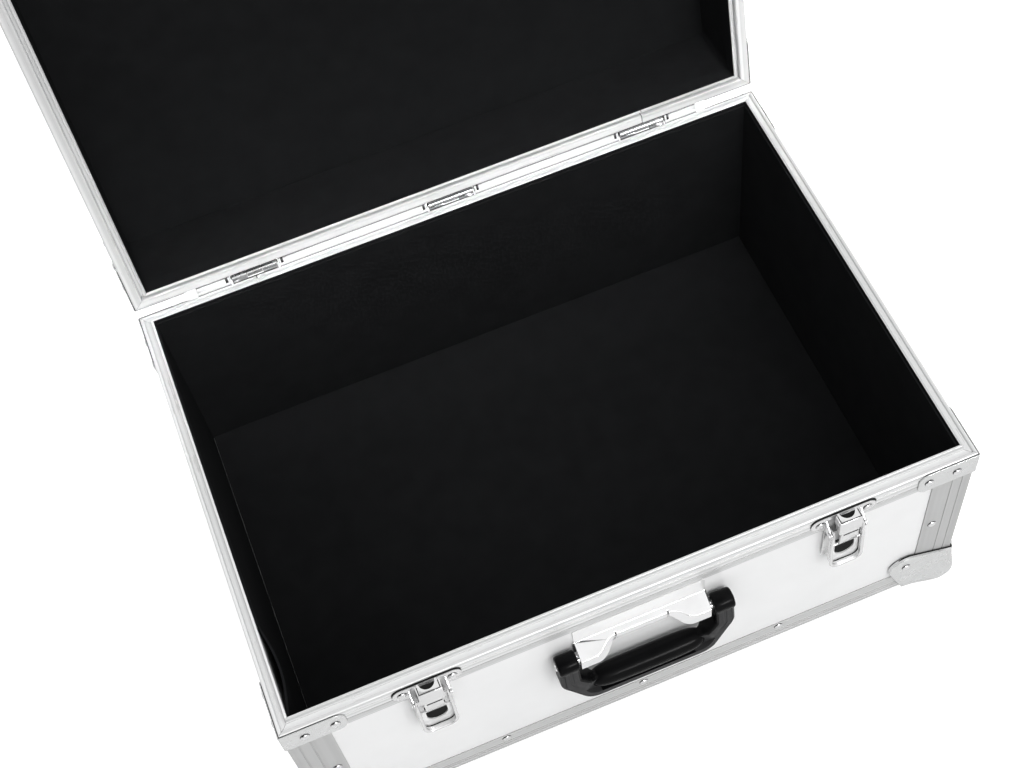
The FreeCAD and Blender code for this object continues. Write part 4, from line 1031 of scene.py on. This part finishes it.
# %% The grip and the barrels
GRIP_HALF, GRIP_DROP, GRIP_TALL, GRIP_THICK, GRIP_STEPS = 50.0, 46.9, 10.2, 9.8, 48
BARREL = ((57.1, 3.05), (57.1, 7.2), (57.6, 8.0), (58.6, 8.45), (72.3, 8.45), (73.4, 8.0), (73.95, 7.0),
          (73.95, 3.05))
TURN = 40
turns = [2 * math.pi * i / TURN for i in range(TURN)]
grip_rows = []
for k in range(GRIP_STEPS + 1):
    x = GRIP_HALF * math.sin(math.radians(-89 + 178 * k / GRIP_STEPS))
    swell = (1 - (abs(x) / GRIP_HALF) ** 8) ** 0.5
    swell *= 0.93 + 0.07 * math.cos(x / GRIP_HALF * math.pi / 2)
    grip_rows.append([placed(x, GRIP_THICK * swell * math.cos(a), GRIP_DROP + GRIP_TALL * swell * math.sin(a))
                      for a in turns])


def barrel(side):
    rows = [[placed(side * x, r * math.cos(a), r * math.sin(a)) for x, r in BARREL] for a in turns]
    return skin_mesh(rows, True)


turned_parts = [skin_mesh(grip_rows, True, True), barrel(1), barrel(-1)]
turned_parts = [coated(part, grip_black) for part in turned_parts]
print("turned parts:", len(turned_parts))


# %% Join frame, grip and barrels
def combined(operation, materials, base, *others):
    carrier = linked(base.name, base)
    tools = [linked(other.name, other) for other in others]
    for tool in tools:
        step = carrier.modifiers.new(tool.name, "BOOLEAN")
        step.operation, step.solver, step.object = operation, "EXACT", tool
        step.material_mode = materials
    return made(carrier, *tools)


def joined(base, *others):
    return combined("UNION", "TRANSFER", base, *others)


def smoothed(mesh, angle):
    for face in mesh.polygons:
        face.use_smooth = True
    mesh.set_sharp_from_angle(angle=angle)
    return mesh


# The grip's bar is black plastic; on the arms the inner edge faces get the same black as painted shade inside
# the U.
SHADED_INNER_FACES, BAR_FACES, BAR_HALF, HANDLE_SHARP = range(10, 15), range(6, 17), 41, 0.7
handle_frame = coated(skin_mesh(rows, True, True), handle_black, grip_black)
for face in handle_frame.polygons[:-2]:
    station, place = divmod(face.index, len(rows[0]))
    soft = SHADED_INNER_FACES if abs(outer[station].x) > BAR_HALF else BAR_FACES
    face.material_index = int(place in soft)
moulding = smoothed(joined(handle_frame, *turned_parts), HANDLE_SHARP)
stand_in("handle_moulding", moulding, None, "handle_grip")
print("handle faces:", len(moulding.polygons))

# %% [markdown]
# ## Latches
# Each latch is three pressings. A plate with two riveted wings is fixed to the case, with a black sheet
# behind it that shows above it as painted shadow of the gap under the rim; a tray lever with a rolled edge
# and a finger hole swings on its cheeks, and a folded hook rides on the lever. Black strips and sheets in the
# tray, behind its finger hole, in the hook's slit and under its notch are painted shade as well. They are
# drawn as flat outlines, given the thickness of the sheet and joined, which is also how a press shop would
# think of them. Their sizes are millimetres across, out from the case's front and down from the rim.

# %% Sheet outlines
FRONT, RIM_TOP, LATCH_SHEET = -200.0, 213.0, 1.2


def at_front(x, out, drop):
    return Vector((x, FRONT - out, RIM_TOP - drop)) * MILLIMETRE


def arc(middle, radius, start, end, steps=6):
    turns = (math.radians(start + (end - start) * k / steps) for k in range(steps + 1))
    return [(middle[0] + radius * math.cos(t), middle[1] + radius * math.sin(t)) for t in turns]


def solid_outline(outline, place, near, far, ease=0.15):
    shape = bmesh.new()
    low = [shape.verts.new(place(point, near)) for point in outline]
    high = [shape.verts.new(place(point, far)) for point in outline]
    shape.faces.new(low)
    shape.faces.new(high)
    for i in range(len(outline)):
        j = (i + 1) % len(outline)
        shape.faces.new((low[i], low[j], high[j], high[i]))
    bmesh.ops.recalc_face_normals(shape, faces=shape.faces)
    if ease:
        bevel(shape, [e for e in shape.edges if e.calc_face_angle() > SHARP], ease * MILLIMETRE, True)
    return closed(shape, smooth=False)


def facing(x, outline, near, far):
    return solid_outline(outline, lambda point, out: at_front(x + point[0], out, point[1]), near, far)


def upright(x, outline, near, far):
    return solid_outline(outline, lambda point, side: at_front(x + side, point[0], point[1]), near, far)


print("sheet outlines are ready")


# %% The plate and the black sheet of painted shadow behind it
def wing_outline(half, wing, top, low, stem_low, end, web):
    right = arc((wing - end, top + end), end, -90, 0) + arc((wing - end, low - end), end, 0, 90)
    right += arc((half + web, low + web), web, -90, -180) + arc((half - 1.8, stem_low - 1.8), 1.8, 0, 90)
    return right + mirrored_points(right)


def pressing(kind, side, mesh, material=None):
    node = "latch_%s_%s" % (kind, side)
    stand_in(node + "_pressed", smoothed(mesh, SHARP), material, node)


LATCHES = {"left": -171.0, "right": 171.0}
CHEEK_SIDES, SHADE_SHEET_BACK, SHADE_SHEET_FACE = (-15.2, 14.0), 0.02, 0.5
PLATE = wing_outline(half=15.2, wing=27.5, top=4.5, low=20.5, stem_low=69.5, end=7.5, web=6.0)
SHADE_SHEET = wing_outline(half=15.0, wing=27.7, top=2.4, low=19.5, stem_low=57.0, end=7.0, web=6.0)
CHEEK = [(0.3, 9.0), (8.6, 17.0)] + arc((8.6, 20.0), 3.0, -80, 80) + [(8.6, 23.0), (0.3, 27.0)]
for side, x in LATCHES.items():
    body = facing(x, PLATE, 0.0, LATCH_SHEET)
    cheeks = [upright(x, CHEEK, near, near + LATCH_SHEET) for near in CHEEK_SIDES]
    pressing("plate", side, joined(body, *cheeks), latch_chrome)
    # Painted shadow: the black sheet behind the plate shows as a dark line along the gap under the rim.
    piece("latch_pad_" + side, facing(x, SHADE_SHEET, SHADE_SHEET_BACK, SHADE_SHEET_FACE), black_pad, "base", "latch_chrome")
print("latch plates:", list(LATCHES))

# %% The tray lever
PIVOT_OUT, PIVOT_DROP, REST_TILT = 8.6, 20.0, math.radians(3.5)
TRAY_HALF, TRAY_TOP, TRAY_LOW, TRAY_ROUND = 13.5, 16.8, 71.0, 7.5
# DARK_FACE is the lower inner face of the tray wall, drawn black as painted shade in its corner with the
# floor.
ROLL_START, ROLL_LENGTH, DARK_FACE = 27.0, 4.0, 10


def tilted(x, out, drop):
    away, down = out - PIVOT_OUT, drop - PIVOT_DROP
    out = PIVOT_OUT + away * math.cos(REST_TILT) + down * math.sin(REST_TILT)
    drop = PIVOT_DROP + down * math.cos(REST_TILT) - away * math.sin(REST_TILT)
    return at_front(x, out, drop)


def tray_rim(x):
    round_x, round_y = TRAY_HALF - TRAY_ROUND, TRAY_LOW - TRAY_ROUND
    path = [((TRAY_HALF, TRAY_TOP + (round_y - TRAY_TOP) * k / 8), (1.0, 0.0)) for k in range(8)]
    path += zip(arc((round_x, round_y), TRAY_ROUND, 0, 90), arc((0, 0), 1.0, 0, 90))
    path += [((-spot[0], spot[1]), (-away[0], away[1])) for spot, away in reversed(path)]
    rows = []
    for (px, py), (ax, ay) in path:
        roll = share((py - ROLL_START) / ROLL_LENGTH)
        section = [(0.0, 5.0), (0.0, 9.4), (0.9 * roll, 10.2), (1.1 * roll, 10.8), (0.7 * roll, 11.3),
                   (-0.3, 11.5), (-1.2, 11.3), (-1.7, 10.7), (-1.6, 10.0), (-1.2, 9.4), (-1.2, 7.3),
                   (-1.2, 5.0)]
        rows.append([tilted(x + px + ax * n, out, py + ay * n) for n, out in section])
    mesh = coated(skin_mesh(rows, True, True), latch_chrome, black_pad)
    for face in mesh.polygons[:-2]:
        face.material_index = int(face.index % len(rows[0]) == DARK_FACE)
    return mesh


def carved(base, tool):
    return combined("DIFFERENCE", "INDEX", base, tool)


TRAY_BACK, TRAY_FACE, HOLE_SHADE_BACK, HOLE_SHADE_FACE, CUT_BACK, CUT_FACE = 5.0, 6.2, 4.9, 5.1, 3.0, 9.0
FLOOR_SIDE = [(12.6, 24.0)] + arc((6.2, 63.7), 6.4, 0, 90)
TRAY_FLOOR = FLOOR_SIDE + mirrored_points(FLOOR_SIDE)
FINGER_HOLE = [(8.5, 36.0)] + arc((0.0, 53.5), 8.5, 0, 180, 14) + [(-8.5, 36.0)]
# Painted shade: a black sheet just behind the tray floor makes the finger hole read dark.
HOLE_SHADE = arc((3.0, 57.5), 8.0, 0, 90) + arc((-3.0, 57.5), 8.0, 90, 180) + [(-11.0, 34.0), (11.0, 34.0)]


def tray(x):
    def layer(outline, near, far):
        return solid_outline(outline, lambda point, out: tilted(x + point[0], out, point[1]),
                             near, far, 0.0)

    tray_floor = coated(layer(TRAY_FLOOR, TRAY_BACK, TRAY_FACE), tray_chrome)
    tray_floor = carved(tray_floor, layer(FINGER_HOLE, CUT_BACK, CUT_FACE))
    return joined(tray_rim(x), tray_floor, coated(layer(HOLE_SHADE, HOLE_SHADE_BACK, HOLE_SHADE_FACE), black_pad))


for side, x in LATCHES.items():
    lever = tray(x)
    pressing("lever", side, lever)
print("tray faces:", len(lever.polygons))

# %% The folded hook
HOOK_HALF, TAIL_HALF, WEB_HALF, HOOK_SHEET = 9.6, 7.6, 8.8, 0.9
HOOK_BACK, HOOK_TOP, TOP_LOW, SKIRT_LOW, TAIL_TOP = 3.2, -1.0, 0.2, 15.0, 15.5
SLOT_LEFT, SLOT_RIGHT, NOTCH_SHADE_TOP, NOTCH_SHADE_LOW = -5.6, 7.0, 0.1, 0.9
TOP_PLATE = [(-8.0, HOOK_BACK), (8.0, HOOK_BACK), (8.0, 11.3), (-8.0, 11.3)]
NOTCH = arc((0.0, HOOK_BACK - 0.01), 6.4, 0, 360, 28)[:-1]
WALL = [(4.6, HOOK_TOP - 0.2), (12.6, HOOK_TOP - 0.2), (12.6, SKIRT_LOW), (9.4, SKIRT_LOW), (4.6, 8.0)]
SKIRT = [(11.8, HOOK_TOP + 0.2), (12.6, HOOK_TOP - 0.2), (13.0, HOOK_TOP + 0.4), (13.0, 13.8), (13.5, 14.4),
         (13.5, SKIRT_LOW), (11.8, SKIRT_LOW)]
TAIL = [(13.0, TAIL_TOP), (12.2, 33.5), (11.4, 36.2), (10.9, 38.0), (9.9, 39.4), (9.1, 39.0), (9.6, 37.0),
        (10.6, 34.0), (11.8, TAIL_TOP)]
WEB = [(11.6, 12.0), (12.2, 12.0), (12.2, 17.0), (11.6, 17.0)]
SLOT = [(12.4, 18.6), (12.94, 18.6), (12.84, 20.9), (12.4, 20.9)]
NOTCH_SHADE = [(-9.0, 4.8), (9.0, 4.8), (9.0, 12.2), (-9.0, 12.2)]


def hook_pressing(x):
    def lying(outline, near, far, ease=0.15):
        return solid_outline(outline, lambda point, drop: at_front(x + point[0], point[1], drop),
                             near, far, ease)

    top = lying(TOP_PLATE, HOOK_TOP, TOP_LOW)
    bright = [carved(top, lying(NOTCH, HOOK_TOP - 1, TOP_LOW + 1, 0.0))]
    for near in (-HOOK_HALF, HOOK_HALF - HOOK_SHEET):
        bright.append(upright(x, WALL, near, near + HOOK_SHEET))
    for outline, half in ((SKIRT, HOOK_HALF), (TAIL, TAIL_HALF), (WEB, WEB_HALF)):
        bright.append(upright(x, outline, -half, half))
    # Painted shade: the slit is a black strip, and a black sheet under the top plate darkens the notch and
    # the plate's sides.
    dark = [upright(x, SLOT, SLOT_LEFT, SLOT_RIGHT), lying(NOTCH_SHADE, NOTCH_SHADE_TOP, NOTCH_SHADE_LOW)]
    bright = [coated(mesh, latch_chrome) for mesh in bright]
    return joined(*bright, *[coated(mesh, black_pad) for mesh in dark])


for side, x in LATCHES.items():
    hook = hook_pressing(x)
    pressing("hook", side, hook)
print("hook faces:", len(hook.polygons))

# %% [markdown]
# ## Handle plate
# The hood over the handle's pins is deep drawn, so the walls that sweep out to its two lugs lean like the
# walls of any drawn cup, and the sheet carries on above it as a flat flange up to the rim. The lean is added
# to the eased CAD hood. A thin skin follows each sweep, because the pins' bores run on through the solid
# there and the real sheet is whole. The flange is one more flat outline.

# %% Lean the hood
HOOD_TOP, TOP_SLOPE, HOOD_LOW, LOW_SLOPE = 46.5, 0.679, 58.5, 1.222
HOOD_MIDDLE, HOOD_END, HOOD_LEAN, PLATE_FACE, LEAN_IN, LEAN_OUT = 22.6, 54.0, 4.0, 1.0, 8.0, 9.0
SWEEP_START, SWEEP_END, SWEEP_NEAR, SWEEP_FAR = 22.0, 45.0, 5.0, 14.0


def hood_edges(out):
    return HOOD_TOP + TOP_SLOPE * out, HOOD_LOW + LOW_SLOPE * (out - SWEEP_NEAR)


def leaning(point):
    x, out, drop = point.x / MILLIMETRE, FRONT - point.y / MILLIMETRE, RIM_TOP - point.z / MILLIMETRE
    if out < PLATE_FACE or not HOOD_MIDDLE < abs(x) < HOOD_END:
        return point
    top, low = hood_edges(out)
    part = min(1.0, (abs(x) - HOOD_MIDDLE) / LEAN_IN) * min(1.0, (HOOD_END - abs(x)) / LEAN_OUT)
    return at_front(x - math.copysign(HOOD_LEAN * share((drop - top) / (low - top)) * part, x), out, drop)


for vert in fittings["handle_plate"].data.vertices:
    vert.co = leaning(vert.co)
print("hood leans by up to", HOOD_LEAN, "mm")

# %% A skin over each sweep
SWEEP_RADIUS, SWEEP_TURN, SWEEP_STEPS = 16.94, math.radians(42.7), 32
SKIN_INSET, SKIN_PROUD, SKIN_ASIDE, SKIN_BEHIND, SKIN_ROWS = 0.5, 0.05, 0.2, 0.25, 6


def sweep_plan(along):
    turn = SWEEP_TURN * (1 - abs(1 - 2 * along))
    run, rise = SWEEP_RADIUS * math.sin(turn), SWEEP_RADIUS * (1 - math.cos(turn))
    return (SWEEP_START + run, SWEEP_NEAR + rise) if along < 0.5 else (SWEEP_END - run, SWEEP_FAR - rise)


def sweep_skin(name, side):
    rows = []
    for k in range(2, SWEEP_STEPS - 1):
        x, out = sweep_plan(k / SWEEP_STEPS)
        top, low = hood_edges(out)
        top, low = top + SKIN_INSET, low - SKIN_INSET
        drops = [top + (low - top) * i / SKIN_ROWS for i in range(SKIN_ROWS + 1)]
        row = [at_front(side * (x - SKIN_PROUD), out + SKIN_PROUD, drop) for drop in drops]
        row += [at_front(side * (x + SKIN_ASIDE), out - SKIN_BEHIND, drop) for drop in reversed(drops)]
        rows.append([leaning(point) for point in row])
    mesh = smoothed(skin_mesh(rows, True, True), SHARP)
    piece(name, mesh, handle_chrome, "base", "handle_chrome")
    print(name, "has", len(mesh.polygons), "faces")


sweep_skin("hood_sweep_left", -1)
sweep_skin("hood_sweep_right", 1)

# %% The flange above the hood
FLANGE_HALF, FLANGE_ROUND, FLANGE_GAP, FLANGE_LAP = 55.0, 1.5, 0.3, 0.2
FLANGE_BACK, FLANGE_FRONT = -1.18, 0.3
flange_top = RIM_TOP - rim_low.z / MILLIMETRE + FLANGE_GAP
corner = arc((FLANGE_HALF - FLANGE_ROUND, flange_top + FLANGE_ROUND), FLANGE_ROUND, -90, 0)
outline = corner + [(FLANGE_HALF, HOOD_TOP + FLANGE_LAP)]
outline += mirrored_points(outline)
flange = facing(0.0, outline, FLANGE_BACK, FLANGE_FRONT)
piece("handle_plate_flange", flange, flange_chrome, "base", "handle_chrome")
print("flange from", round(flange_top, 1), "to", HOOD_TOP, "mm below the rim")
